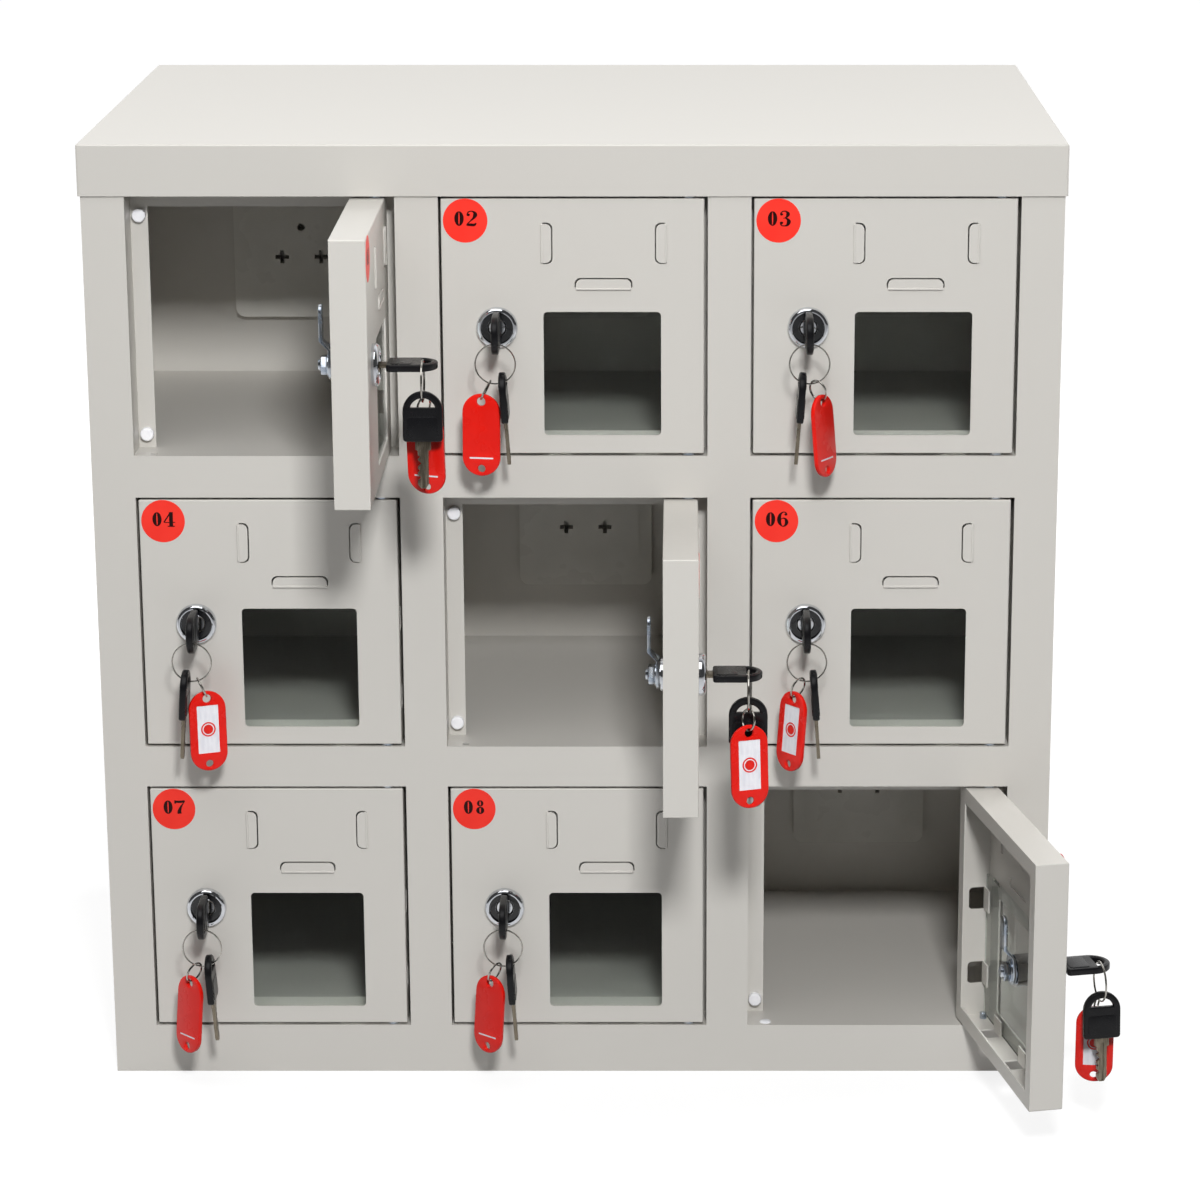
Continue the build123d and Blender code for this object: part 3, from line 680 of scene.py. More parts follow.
# ---- where each door's pieces go -------------------------------------
class TagSide(Enum):
    """Side of the ring on which the tag hangs, seen from the front."""

    LEFT = -1
    RIGHT = 1


@dataclass(frozen=True)
class Hanging:
    """How one door's keys hang.

    Attributes:
        side: side of the tag, the spare key being on the other.
        twist: turn of the tag about the vertical, in degrees.
        label_front: whether its label side faces forward.
    """

    side: TagSide
    twist: float
    label_front: bool = False


HANGINGS = {
    1: Hanging(TagSide.RIGHT, 72, label_front=True),
    2: Hanging(TagSide.LEFT, 8),
    3: Hanging(TagSide.RIGHT, 58),
    4: Hanging(TagSide.RIGHT, 20, label_front=True),
    5: Hanging(TagSide.LEFT, 72, label_front=True),
    6: Hanging(TagSide.LEFT, 50, label_front=True),
    7: Hanging(TagSide.LEFT, 45),
    8: Hanging(TagSide.LEFT, 40),
    9: Hanging(TagSide.RIGHT, 72),
}


@dataclass
class DoorPlace:
    """Where one door's lock and ring are, read from the frame's joints.

    Attributes:
        number: the door's number, from 1.
        rim_drop: from the joint that the ring hangs from down to the ring's centre.
        aside: how far to the side, of 1, an open door's face looks at least.
        tag: the number as the names of its pieces end in it.
        lock: place of the lock axis at the door's face, with Y into the door.
        ring: place of the ring's centre, turned as the lock is.
        open: whether the door stands open.
    """

    number: int
    rim_drop: float = 7.4
    aside: float = 0.5
    tag: str = field(init=False)
    lock: Matrix = field(init=False)
    ring: Matrix = field(init=False)
    open: bool = field(init=False)

    def __post_init__(self) -> None:
        """Read the joints."""
        self.tag = f"{self.number:02d}"
        turn = f"lock_{self.tag}_turn"
        outward = Vector(JOINTS[turn]["axis"])
        up = Vector((0, 0, 1))
        across = outward.cross(up)
        across.negate()
        self.lock = axes(across, -outward, up, joint_at(turn))
        self.open = abs(outward.x) > self.aside
        rim = joint_at(f"key_ring_{self.tag}_hang")
        self.ring = axes(across, -outward, up, rim - up * self.rim_drop * MM)


# ---- number stickers -------------------------------------------------
DIGIT_W = 0.6  # width of a digit's box, its height being 1
HAIR = 0.07  # thin stroke of the digits
THREAD = 0.04  # thinner still, where a stroke fades out


@dataclass(frozen=True)
class Digit:
    """One digit as pen strokes in its box.

    Attributes:
        strokes: stations (x, y, width) of each stroke, joined by a smooth line.
        balls: (x, y, radius) of its round ends.
        ovals: (x, y, half width, half height, thick, thin) of closed bowls.
    """

    strokes: tuple[tuple[Station, ...], ...] = ()
    balls: tuple[Station, ...] = ()
    ovals: tuple[tuple[float, ...], ...] = ()

    def upside_down(self) -> "Digit":
        """Give the digit turned by half a turn, as a nine is from a six."""
        lines = (tuple((DIGIT_W - x, 1 - y, w) for x, y, w in line) for line in self.strokes)
        return Digit(tuple(lines), tuple((DIGIT_W - x, 1 - y, r) for x, y, r in self.balls))


SIX = Digit(
    strokes=(
        (
            (0.50, 0.86, HAIR), (0.42, 0.965, HAIR), (0.30, 0.96, HAIR), (0.17, 0.80, 0.14),
            (0.12, 0.52, 0.20), (0.15, 0.25, 0.17), (0.24, 0.07, 0.08), (0.33, 0.025, HAIR),
            (0.44, 0.10, 0.12), (0.50, 0.30, 0.18), (0.45, 0.50, 0.12), (0.34, 0.57, HAIR),
            (0.22, 0.50, THREAD), (0.18, 0.40, THREAD),
        ),
    ),
    balls=((0.46, 0.82, 0.075),),
)
DIGITS = {
    "0": Digit(ovals=((0.31, 0.50, 0.21, 0.47, 0.20, HAIR),)),
    "1": Digit(
        strokes=(
            ((0.31, 0.05, 0.20), (0.31, 0.97, 0.20)),
            ((0.10, 0.025, HAIR), (0.52, 0.025, HAIR)),
            ((0.31, 0.93, HAIR), (0.10, 0.86, HAIR)),
        )
    ),
    "2": Digit(
        strokes=(
            (
                (0.10, 0.78, 0.06), (0.16, 0.92, HAIR), (0.32, 0.975, HAIR), (0.46, 0.88, 0.14),
                (0.49, 0.73, 0.20), (0.42, 0.55, 0.14), (0.26, 0.35, HAIR), (0.12, 0.17, HAIR),
                (0.07, 0.06, HAIR),
            ),
            ((0.07, 0.09, 0.12), (0.25, 0.10, 0.17), (0.42, 0.09, 0.16), (0.54, 0.20, HAIR)),
        ),
        balls=((0.15, 0.74, 0.085),),
    ),
    "3": Digit(
        strokes=(
            (
                (0.09, 0.80, HAIR), (0.17, 0.94, HAIR), (0.31, 0.975, HAIR), (0.43, 0.88, 0.14),
                (0.45, 0.76, 0.18), (0.40, 0.62, 0.12), (0.28, 0.53, THREAD),
                (0.22, 0.525, THREAD),
            ),
            (
                (0.22, 0.525, THREAD), (0.34, 0.52, HAIR), (0.46, 0.42, 0.15), (0.49, 0.27, 0.20),
                (0.43, 0.10, 0.14), (0.29, 0.025, HAIR), (0.14, 0.06, HAIR), (0.08, 0.18, HAIR),
            ),
        ),
        balls=((0.14, 0.77, 0.08), (0.13, 0.22, 0.085)),
    ),
    "4": Digit(
        strokes=(
            ((0.40, 0.05, 0.19), (0.40, 0.97, 0.19)),
            ((0.38, 0.95, HAIR), (0.04, 0.30, HAIR)),
            ((0.03, 0.285, 0.055), (0.60, 0.285, 0.055)),
            ((0.22, 0.025, HAIR), (0.58, 0.025, HAIR)),
        )
    ),
    "5": Digit(
        strokes=(
            ((0.13, 0.93, HAIR), (0.12, 0.53, HAIR)),
            ((0.13, 0.93, HAIR), (0.25, 0.90, 0.13), (0.42, 0.90, 0.13), (0.50, 0.97, HAIR)),
            (
                (0.12, 0.53, THREAD), (0.22, 0.62, HAIR), (0.34, 0.62, 0.08), (0.46, 0.50, 0.16),
                (0.49, 0.31, 0.20), (0.43, 0.12, 0.14), (0.29, 0.025, HAIR), (0.14, 0.06, HAIR),
                (0.08, 0.18, HAIR),
            ),
        ),
        balls=((0.13, 0.20, 0.085),),
    ),
    "6": SIX,
    "7": Digit(
        strokes=(
            ((0.08, 0.88, 0.16), (0.35, 0.88, 0.16), (0.55, 0.93, 0.10)),
            ((0.06, 0.98, HAIR), (0.07, 0.75, HAIR)),
            (
                (0.55, 0.95, HAIR), (0.45, 0.72, HAIR), (0.33, 0.45, 0.13), (0.27, 0.20, 0.19),
                (0.28, 0.04, 0.20),
            ),
        )
    ),
    "8": Digit(
        ovals=((0.30, 0.76, 0.155, 0.215, 0.13, HAIR), (0.30, 0.27, 0.19, 0.245, 0.17, HAIR))
    ),
    "9": SIX.upside_down(),
}


def smooth_line(stations: Sequence[Station], steps: int = 8) -> list[Station]:
    """Draw a smooth line, a Catmull-Rom spline, through stations.

    Args:
        stations: (x, y, width) that the line passes. Two of them give a straight line.
        steps: pieces between two stations.

    Returns:
        The line's stations, close together.
    """
    if len(stations) == 2:
        return list(stations)
    ends = [stations[0], *stations, stations[-1]]
    line = []
    for a, b, c, d in zip(ends, ends[1:], ends[2:], ends[3:]):
        for step in range(steps):
            t = step / steps
            line.append(
                tuple(
                    0.5 * (2 * q + (r - p) * t + (2 * p - 5 * q + 4 * r - s) * t**2
                           + (3 * q - p - 3 * r + s) * t**3)
                    for p, q, r, s in zip(a, b, c, d)
                )
            )
    return line + [tuple(stations[-1])]


@dataclass
class DoorNumber:
    """Round vinyl sticker with a two-digit number on it.

    Attributes:
        radius: the sticker's radius.
        film: its thickness.
        from_lock: its centre from the lock axis, across and up.
        height: the digits' height.
        widen: how much wider than drawn the digits are.
        pitch: from one digit to the next.
        lift: number's middle above the sticker's.
        ink: thickness of the ink.
        ink_step: how much more each stroke stands out than the last, so that none share a face.
        ball_turns: degrees at which a round end is cut into stations.
        bowl_steps: stations of a closed bowl.
        bowl_inset: share of a bowl's thick stroke that lies inside its drawn edge.
        bowl_swell: how fast a bowl's stroke grows from thin to thick.
    """

    radius: float = 12.8
    film: float = 0.12
    from_lock: Point = (-17.6, 62.3)
    height: float = 9.0
    widen: float = 1.3
    pitch: float = 7.2
    lift: float = 1.2
    ink: float = 0.04
    ink_step: float = 0.002
    ball_turns: range = range(-75, 80, 15)
    bowl_steps: int = 48
    bowl_inset: float = 0.4
    bowl_swell: float = 1.5

    def disc(self) -> Mesh:
        """Make the sticker.

        Returns:
            Its mesh, for all doors.
        """
        lip = self.film / 3
        profile = [(0, 0), (self.radius, 0), (self.radius, -self.film + lip)]
        profile += [(self.radius - lip, -self.film), (0, -self.film)]
        return finished("number_sticker", lathe(profile, steps=72), STICKER_VINYL)

    def ball(self, x: float, y: float, radius: float) -> list[Station]:
        """Draw a round end as an upright stroke that swells.

        Args:
            x: its middle across the digit's box.
            y: its middle up the box.
            radius: its radius.

        Returns:
            The stroke's stations.
        """
        turns = [math.radians(degrees) for degrees in self.ball_turns]
        swell = [(x, y + radius * math.sin(t), 2 * radius * math.cos(t)) for t in turns]
        return [(x, y - radius, HAIR / 2), *swell, (x, y + radius, HAIR / 2)]

    def bowl(
        self, x: float, y: float, half_w: float, half_h: float, thick: float, thin: float
    ) -> list[Station]:
        """Draw a closed bowl, thick at its sides.

        Args:
            x: its middle across the digit's box.
            y: its middle up the box.
            half_w: half its width.
            half_h: half its height.
            thick: width of the stroke at the sides.
            thin: width at top and bottom.

        Returns:
            The stroke's stations.
        """
        turns = [2 * math.pi * i / self.bowl_steps for i in range(self.bowl_steps)]
        return [
            (
                x + (half_w - self.bowl_inset * thick) * math.cos(t),
                y + (half_h - thin / 2) * math.sin(t),
                thin + (thick - thin) * abs(math.cos(t)) ** self.bowl_swell,
            )
            for t in turns
        ]

    def ribbon(self, stations: Sequence[Station], left: float, rise: float, closed: bool) -> Body:
        """Make one stroke of ink.

        Args:
            stations: (x, y, width) along the stroke, in the digit's box.
            left: x of the digit's box.
            rise: how far the stroke stands out over the sticker.
            closed: join its ends, for a bowl.

        Returns:
            The stroke.
        """
        body = bmesh.new()
        wide, high = self.height * self.widen, self.height
        count = len(stations)
        rows = []
        for i, (x, y, width) in enumerate(stations):
            before = stations[(i - 1) % count] if closed or i else stations[i]
            after = stations[(i + 1) % count] if closed or i < count - 1 else stations[i]
            along = Vector(((after[0] - before[0]) * wide, (after[1] - before[1]) * high))
            along.normalize()
            aside = Vector((-along.y * width / 2 * wide, along.x * width / 2 * high))
            middle = Vector((left + x * wide, (y - 0.5) * high + self.lift))
            rows.append([
                body.verts.new((edge.x, depth, edge.y))
                for edge in (middle + aside, middle - aside)
                for depth in (-self.film, -self.film - rise)
            ])
        for (a, b, c, d), (e, f, g, h) in zip(rows, rows[1:] + (rows[:1] if closed else [])):
            for corners in ((b, d, h, f), (a, e, g, c), (a, b, f, e), (c, g, h, d)):
                body.faces.new(corners)
        if not closed:
            for a, b, c, d in (rows[0], rows[-1]):
                body.faces.new((a, b, d, c))
        bmesh.ops.recalc_face_normals(body, faces=body.faces)
        return body

    def number(self, text: str) -> Mesh:
        """Make the ink of a whole number.

        Args:
            text: its two digits.

        Returns:
            The mesh.
        """
        strokes = []
        for place, character in enumerate(text):
            left = (place - len(text) / 2) * self.pitch
            left += (self.pitch - DIGIT_W * self.height * self.widen) / 2
            digit = DIGITS[character]
            lines = [(smooth_line(stroke), False) for stroke in digit.strokes]
            lines += [(self.ball(*ball), False) for ball in digit.balls]
            lines += [(self.bowl(*oval), True) for oval in digit.ovals]
            for line, closed in lines:
                rise = self.ink + self.ink_step * len(strokes)
                strokes.append(self.ribbon(line, left, rise, closed))
        return finished(f"number_{text}", join(strokes), NUMBER_INK)

    def fit(self, disc: Mesh, door: DoorPlace) -> None:
        """Put a sticker and its number on a door.

        Args:
            disc: the sticker's mesh.
            door: where it goes.
        """
        place = door.lock @ at(self.from_lock[0], 0, self.from_lock[1])
        body = f"door_{door.tag}"
        put(f"sticker_{door.tag}", disc, place, body)
        put(f"numerals_{door.tag}", self.number(door.tag), place, body)


# ---- card clips ------------------------------------------------------
@dataclass
class CardClips:
    """The rolled folds at the roots of the three clips that are pressed out of each door's face.

    Attributes:
        roots: (length, across, up) of each clip, its root's middle seen from the lock axis.
        away: direction from each root away from its tongue.
        proud: height of the tongues over the door's face.
        roll: height of the roll over the tongue.
        width: width of the roll.
        edge: radius of its edges.
    """

    roots: tuple[Station, ...] = ((22.6, 26.7, 49.1), (22.6, 97.0, 49.1), (31.9, 61.65, 23.2))
    away: tuple[Point, ...] = ((-1, 0), (1, 0), (0, -1))
    proud: float = 0.8
    roll: float = 0.4
    width: float = 1.3
    edge: float = 0.35

    def folds(self) -> Mesh:
        """Make the three rolls of one door.

        Returns:
            Their mesh, for all doors.
        """
        bodies = []
        front, back = -self.proud - self.roll, -self.proud + self.edge
        for (length, across, up), (aside, down) in zip(self.roots, self.away):
            centre = (across + aside * self.width / 2, up + down * self.width / 2)
            wide, high = (self.width, length) if aside else (length, self.width)
            outline = rounded_box(centre, wide, high, self.width / 2)
            bodies.append(plate(outline, [], front, back, self.edge))
        return finished("clip_folds", join(bodies), POWDER)

    def fit(self, folds: Mesh, door: DoorPlace) -> None:
        """Put the rolls on a door."""
        put(f"clip_folds_{door.tag}", folds, door.lock, f"door_{door.tag}")


# ---- cam lock --------------------------------------------------------
@dataclass
class CamLock:
    """Dish with a dark ring of painted reflection, plug, threaded shank, cranked cam, washer and
    nut of a cam lock.

    Its axis is on Y with the door's face at 0. plug_lip holds the points of the bright lip round
    the plug's face, out from the plug's edge and in from its face.
    """

    plug_r: float = 5.5
    plug_face: float = -1.8
    plug_lip: tuple[Point, ...] = ((-0.9, 0.25), (-0.7, -0.1), (-0.3, -0.2), (0.0, 0.05))
    dish_r: float = 8.95
    # Dark ring of painted reflection: its thickness, its gap to the plug and the radius of its
    # edges.
    reflection_ring_t: float = 0.12
    reflection_ring_gap: float = 0.1
    reflection_ring_edge: float = 0.04
    shank_r: float = 3.4
    thread_depth: float = 0.35
    thread_pitch: float = 0.8
    cam_seat: float = 22.0
    thread_end: float = 30.0
    cam_t: float = 2.0
    cam_edge: float = 0.3
    cam_root_r: float = 8.0
    cam_tip_w: float = 9.0
    cam_length: float = 34.0
    crank: float = 5.0
    crank_from: float = 9.0
    crank_to: float = 14.0
    washer_r: float = 6.5
    washer_t: float = 0.8
    washer_lip: float = 0.2
    nut_flats: float = 10.0
    nut_h: float = 3.6
    nut_edge: float = 0.45
    bore_fit: float = 0.05

    @property
    def bore_r(self) -> float:
        """Radius of the bores that sit on the shank."""
        return self.shank_r + self.bore_fit

    def face(self) -> Mesh:
        """Make the dark ring inside the chrome rim, a painted reflection of the dark room that the
        rim's flat chrome face mirrors.

        Returns:
            Its mesh, for all locks.
        """
        low, high, edge = self.plug_face, self.plug_face - self.reflection_ring_t, self.reflection_ring_edge
        inner, outer = self.plug_r + self.reflection_ring_gap, self.dish_r
        profile = [(inner, low), (inner, high + edge), (inner + edge, high)]
        profile += [(outer - edge, high), (outer, high + edge), (outer, low)]
        return finished("lock_face", lathe(profile, closed=True), LOCK_PAINTED_REFLECTION)

    def plug(self) -> Mesh:
        """Make the plug that the key turns, with a raised bright lip round its face.

        Returns:
            The mesh.
        """
        r, y = self.plug_r, self.plug_face
        profile = [(0, y + self.plug_lip[0][1])] + [(r + out, y + up) for out, up in self.plug_lip]
        profile += [(r, self.cam_seat), (0, self.cam_seat)]
        return finished("lock_plug", lathe(profile), CHROME)

    def shank(self) -> Mesh:
        """Make the threaded end that holds the cam.

        Returns:
            The mesh.
        """
        r, depth, pitch = self.shank_r, self.thread_depth, self.thread_pitch
        profile = [(0, self.cam_seat), (r, self.cam_seat)]
        y = self.cam_seat + pitch
        while y < self.thread_end - pitch:
            profile += [(r - depth, y), (r, y + pitch / 2)]
            y += pitch
        profile += [(r - 2 * depth, self.thread_end), (0, self.thread_end)]
        return finished("lock_shank", lathe(profile, steps=40), ZINC)

    def cam(self) -> Mesh:
        """Make the cranked cam, pressed from plate.

        Returns:
            The mesh.
        """
        tip = self.cam_tip_w / 2
        outline = arc((0, 0), self.cam_root_r, 180, 360, steps=24)
        outline += [(tip, self.crank_to)]
        outline += arc((0, self.cam_length - tip), tip, 0, 180)
        outline += [(-tip, self.crank_to)]
        hole = circle((0, 0), self.bore_r)
        body = plate(outline, [hole], self.cam_seat, self.cam_seat + self.cam_t, self.cam_edge)
        for height in (self.crank_from, (self.crank_from + self.crank_to) / 2, self.crank_to):
            parts = [*body.verts, *body.edges, *body.faces]
            bmesh.ops.bisect_plane(
                body, geom=parts, dist=WELD, plane_co=(0, 0, height), plane_no=(0, 0, 1)
            )
        for vertex in body.verts:
            share = (vertex.co.z - self.crank_from) / (self.crank_to - self.crank_from)
            vertex.co.y += self.crank * min(1.0, max(0.0, share))
        return finished("lock_cam", body, ZINC)

    def washer(self) -> Mesh:
        """Make the washer on the cam.

        Returns:
            The mesh.
        """
        low, lip = self.cam_seat + self.cam_t, self.washer_lip
        high = low + self.washer_t
        profile = [(self.bore_r, low), (self.washer_r, low), (self.washer_r, high - lip)]
        profile += [(self.washer_r - lip, high), (self.bore_r, high)]
        return finished("cam_washer", lathe(profile, closed=True), ZINC)

    def nut(self) -> Mesh:
        """Make the hexagon nut.

        Returns:
            The mesh.
        """
        low = self.cam_seat + self.cam_t + self.washer_t
        outline = circle((0, 0), self.nut_flats / math.sqrt(3), steps=6)
        hole = circle((0, 0), self.bore_r)
        body = plate(outline, [hole], low, low + self.nut_h, self.nut_edge)
        return finished("cam_nut", body, ZINC)

    def build(self) -> Meshes:
        """Make every mesh of the lock that turns, once for all doors.

        Returns:
            Piece names to meshes.
        """
        return {
            "lock_plug": self.plug(),
            "lock_shank": self.shank(),
            "lock_cam": self.cam(),
            "cam_washer": self.washer(),
            "cam_nut": self.nut(),
        }

    def fit(self, meshes: Meshes, face: Mesh, door: DoorPlace) -> None:
        """Put a lock on a door, its turning pieces on the cam's body.

        Args:
            meshes: the turning pieces.
            face: the dark ring of painted reflection, which stays with the door.
            door: where it goes.
        """
        put(f"lock_face_{door.tag}", face, door.lock, f"door_{door.tag}")
        for name, mesh in meshes.items():
            put(f"{name}_{door.tag}", mesh, door.lock, f"cam_and_key_{door.tag}")


# ---- key -------------------------------------------------------------
@dataclass
class Key:
    """Flat key with a moulded head, along Y with its blade at +Y and its width on Z.

    The head's end next to the blade is at 0. cuts holds each cut's place along the blade and depth.
    """

    start: float = 8.0
    width: float = 22.0
    head_l: float = 28.0
    plate_t: float = 4.0
    head_t: float = 4.6
    corner: float = 2.0
    head_edge: float = 0.9
    loop_r: float = 7.2
    loop_cut: float = 2.0
    panel_at: float = -8.0
    panel_l: float = 12.0
    panel_w: float = 17.0
    panel_edge: float = 0.25
    bead_in: float = 0.9
    bead_out: float = 2.3
    bead_drop: float = 0.1
    root: float = 1.0
    shoulder_w: float = 8.6
    shoulder_l: float = 5.0
    shoulder_slope: float = 0.6
    blade_w: float = 6.0
    blade_t: float = 2.0
    blade_l: float = 26.0
    blade_edge: float = 0.12
    tip_w: float = 3.4
    tip_l: float = 2.5
    tip_bevel: Point = (0.4, 0.5)
    groove_w: float = 1.3
    groove_depth: float = 0.55
    groove_ends: Point = (2.5, 0.5)
    groove_drop: float = 0.4
    groove_corner: float = 0.6
    cuts: tuple[Point, ...] = ((8.5, 1.1), (12.0, 1.8), (16.0, 1.0), (20.0, 1.5))
    cut_flat: float = 0.3

    @property
    def round_r(self) -> float:
        """Radius of the head's round end."""
        return self.width / 2

    @property
    def round_at(self) -> float:
        """Distance of that round's centre from the near end."""
        return self.head_l - self.round_r

    def upright(self, body: Body) -> Body:
        """Turn a plate drawn from the front so that it lies along Y."""
        body.transform(turned(90, "Z"))
        return body

    def head(self) -> Mesh:
        """Make the moulded head with its loop and a plain raised panel on each side.

        Returns:
            The mesh.
        """
        half, c = self.width / 2, self.corner
        centre = (-self.round_at, 0)
        thick, high = self.plate_t / 2, self.head_t / 2
        outline = arc((-c, c - half), c, 270, 360, steps=5) + arc((-c, half - c), c, 0, 90, steps=5)
        outline += arc(centre, self.round_r, 90, 270, steps=32)
        limit = math.degrees(math.acos(-self.loop_cut / self.loop_r))
        loop = arc(centre, self.loop_r, limit, 360 - limit, steps=20)
        panel = rounded_box((self.panel_at, 0), self.panel_l, self.panel_w, self.corner)
        inner, outer = (
            arc(centre, self.loop_r + away, limit, 360 - limit, steps=24)
            for away in (self.bead_in, self.bead_out)
        )
        low = high - self.bead_drop
        plates = [
            plate(outline, [loop], -thick, thick, self.head_edge),
            plate(panel, [], -high, high, self.panel_edge),
            plate(outer + inner[::-1], [], -low, low, self.panel_edge),
        ]
        return finished("key_head", self.upright(join(plates)), HEAD_ABS)

    def blade(self) -> Mesh:
        """Make the milled blade with its cuts and a groove along each side.

        Returns:
            The mesh.
        """
        wide, narrow, tip = self.shoulder_w / 2, self.blade_w / 2, self.tip_w / 2
        back, side = self.tip_bevel
        half_outline = [
            (-self.root, wide),
            (self.shoulder_l - self.shoulder_slope, wide),
            (self.shoulder_l, narrow),
            (self.blade_l - self.tip_l, narrow),
            (self.blade_l - back, tip),
            (self.blade_l, tip - side),
        ]
        outline = [(along, -out) for along, out in half_outline] + half_outline[:2:-1]
        for along, depth in reversed(self.cuts):
            outline += [(along + depth, narrow), (along + self.cut_flat, narrow - depth)]
            outline += [(along - self.cut_flat, narrow - depth), (along - depth, narrow)]
        outline += half_outline[2::-1]
        half = self.blade_t / 2
        start, end = self.groove_ends[0], self.blade_l - self.groove_ends[1]
        groove = rounded_box(
            ((start + end) / 2, -self.groove_drop), end - start, self.groove_w, self.groove_corner
        )
        body = plate(outline, [], -half, half, self.blade_edge)
        body = recess(body, self.blade_t, self.groove_depth, groove, groove)
        return finished("key_blade", self.upright(body), KEY_METAL)

    def build(self) -> Meshes:
        """Make the key's two meshes."""
        return {"head": self.head(), "blade": self.blade()}

    def fit(self, meshes: Meshes, door: DoorPlace) -> None:
        """Put a key in a door's lock. On an open door it is turned by a quarter.

        Args:
            meshes: the key's meshes.
            door: where it goes.
        """
        place = door.lock @ turned(90 if door.open else 0, "Y") @ at(0, -self.start, 0)
        body = f"cam_and_key_{door.tag}"
        for name, mesh in meshes.items():
            piece = put(f"key_{name}_{door.tag}", mesh, place, body)
            if name == "head":
                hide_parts(body)


# ---- ring, link, tag and spare key -----------------------------------
@dataclass
class KeyBundle:
    """What hangs from each key: a split ring, a link with a name tag, and a spare key.

    link_upright and tag_upright are the twists at which the link and the tag would hang straight.
    """

    ring_r: float = 11.5
    ring_wire: float = 0.65
    ring_steps: int = 128
    coils: int = 2
    coil_wire: float = 0.45
    coil_pitch: float = 0.55
    link_r: float = 6.0
    link_wire: float = 0.6
    link_gap: float = 3.0
    air: float = 0.15
    link_angle: float = 18.0
    link_lean: float = 28.0
    link_upright: float = 160.0
    link_share: float = 0.8
    spare_angle: float = 20.0
    spare_lift: float = 2.2
    spare_tilt: float = 4.0
    tag_lean: float = 12.0
    tag_upright: float = 120.0
    tag_w: float = 22.0
    tag_l: float = 48.0
    tag_t: float = 2.6
    tag_edge: float = 0.6
    hole_r: float = 2.5
    foot_hole_r: float = 2.2
    rim: float = 2.0
    play: float = 0.45
    label_w: float = 13.0
    label_l: float = 29.0
    label_lift: float = 1.0
    label_depth: float = 0.5
    label_corner: float = 0.6
    paper_t: float = 0.15
    paper_play: float = 0.3
    paper_corner: float = 0.3
    sunk: float = 0.02
    slit_w: float = 14.0
    slit_h: float = 1.0
    slit_lift: float = 10.5
    slit_corner: float = 0.3
    strip_play: Point = (0.2, 0.1)
    strip_corner: float = 0.2
    strip_deep: float = 0.1
    mark_r: Station = (4.4, 3.5, 2.9)
    mark_ink: float = 0.03

    @property
    def tag_top(self) -> float:
        """Top of the tag over the wire that it hangs from."""
        return self.rim + self.link_wire + self.air + self.play

    @property
    def label_at(self) -> Point:
        """Middle of the label."""
        return 0, self.tag_top - self.tag_l / 2 + self.label_lift

    @property
    def slit_at(self) -> Point:
        """Middle of the slit in the back."""
        return 0, self.tag_top - self.tag_l + self.slit_lift

    def ring(self) -> Mesh:
        """Make the split ring, a coil of round wire about Y.

        Returns:
            The mesh.
        """
        points = []
        for i in range(self.ring_steps + 1):
            share = i / self.ring_steps
            turn, along = 2 * math.pi * self.coils * share, self.coil_pitch * (share - 0.5)
            points.append((self.ring_r * math.sin(turn), along, self.ring_r * math.cos(turn)))
        return finished("split_ring", wire(points, self.coil_wire), NICKEL)

    def link(self) -> Mesh:
        """Make the bent link about Y, with the fine gap where its ends meet.

        Returns:
            The mesh.
        """
        half = self.link_gap / 2
        loop = arc((0, 0), self.link_r, 180 + half, 180 + 360 - half, steps=56)
        return finished("tag_link", wire([(x, 0, z) for x, z in loop], self.link_wire), NICKEL)

    def tag(self) -> Mesh:
        """Make the tag's body, hung from 0 with its label side to -Y.

        Returns:
            The mesh.
        """
        r, foot = self.tag_w / 2, self.tag_top - self.tag_l
        outline = arc((0, self.tag_top - r), r, 0, 180, steps=28)
        outline += arc((0, foot + r), r, 180, 360, steps=28)
        holes = [
            circle((0, self.tag_top - self.rim - self.hole_r), self.hole_r, steps=28),
            circle((0, foot + self.rim + self.foot_hole_r), self.foot_hole_r, steps=28),
        ]
        half = self.tag_t / 2
        window = rounded_box(self.label_at, self.label_w, self.label_l, self.label_corner)
        slit = rounded_box(self.slit_at, self.slit_w, self.slit_h, self.slit_corner)
        body = plate(outline, holes, -half, half, self.tag_edge)
        body = recess(body, self.tag_t, self.label_depth, window, slit)
        return finished("key_tag", body, TAG_PP)

    def paper(self) -> Mesh:
        """Make the label, and the strip of it that the slit in the back shows.

        Returns:
            The mesh of both.
        """
        half = self.tag_t / 2
        floor, play, (across, high) = half - self.label_depth, self.paper_play, self.strip_play
        wide, long = self.label_w - play, self.label_l - play
        sheet = rounded_box(self.label_at, wide, long, self.paper_corner)
        wide, long = self.slit_w - across, self.slit_h - high
        strip = rounded_box(self.slit_at, wide, long, self.strip_corner)
        bodies = [
            plate(sheet, [], -floor - self.paper_t, -floor + self.sunk),
            plate(strip, [], floor - self.sunk, half - self.strip_deep),
        ]
        return finished("tag_label", join(bodies), LABEL_PAPER)

    def mark(self) -> Mesh:
        """Make the plain red ring and dot printed on the label.

        Returns:
            The mesh of both.
        """
        face = -self.tag_t / 2 + self.label_depth - self.paper_t
        outer, inner, dot = (circle(self.label_at, radius) for radius in self.mark_r)
        drawings = ((outer, [inner]), (dot, []))
        bodies = [plate(line, holes, face - self.mark_ink, face) for line, holes in drawings]
        return finished("tag_mark", join(bodies), MARK_INK)

    def build(self) -> Meshes:
        """Make every mesh of the bundle but the spare key.

        Returns:
            Piece names to meshes.
        """
        return {
            "split_ring": self.ring(),
            "tag_link": self.link(),
            "key_tag": self.tag(),
            "tag_label": self.paper(),
            "tag_mark": self.mark(),
        }

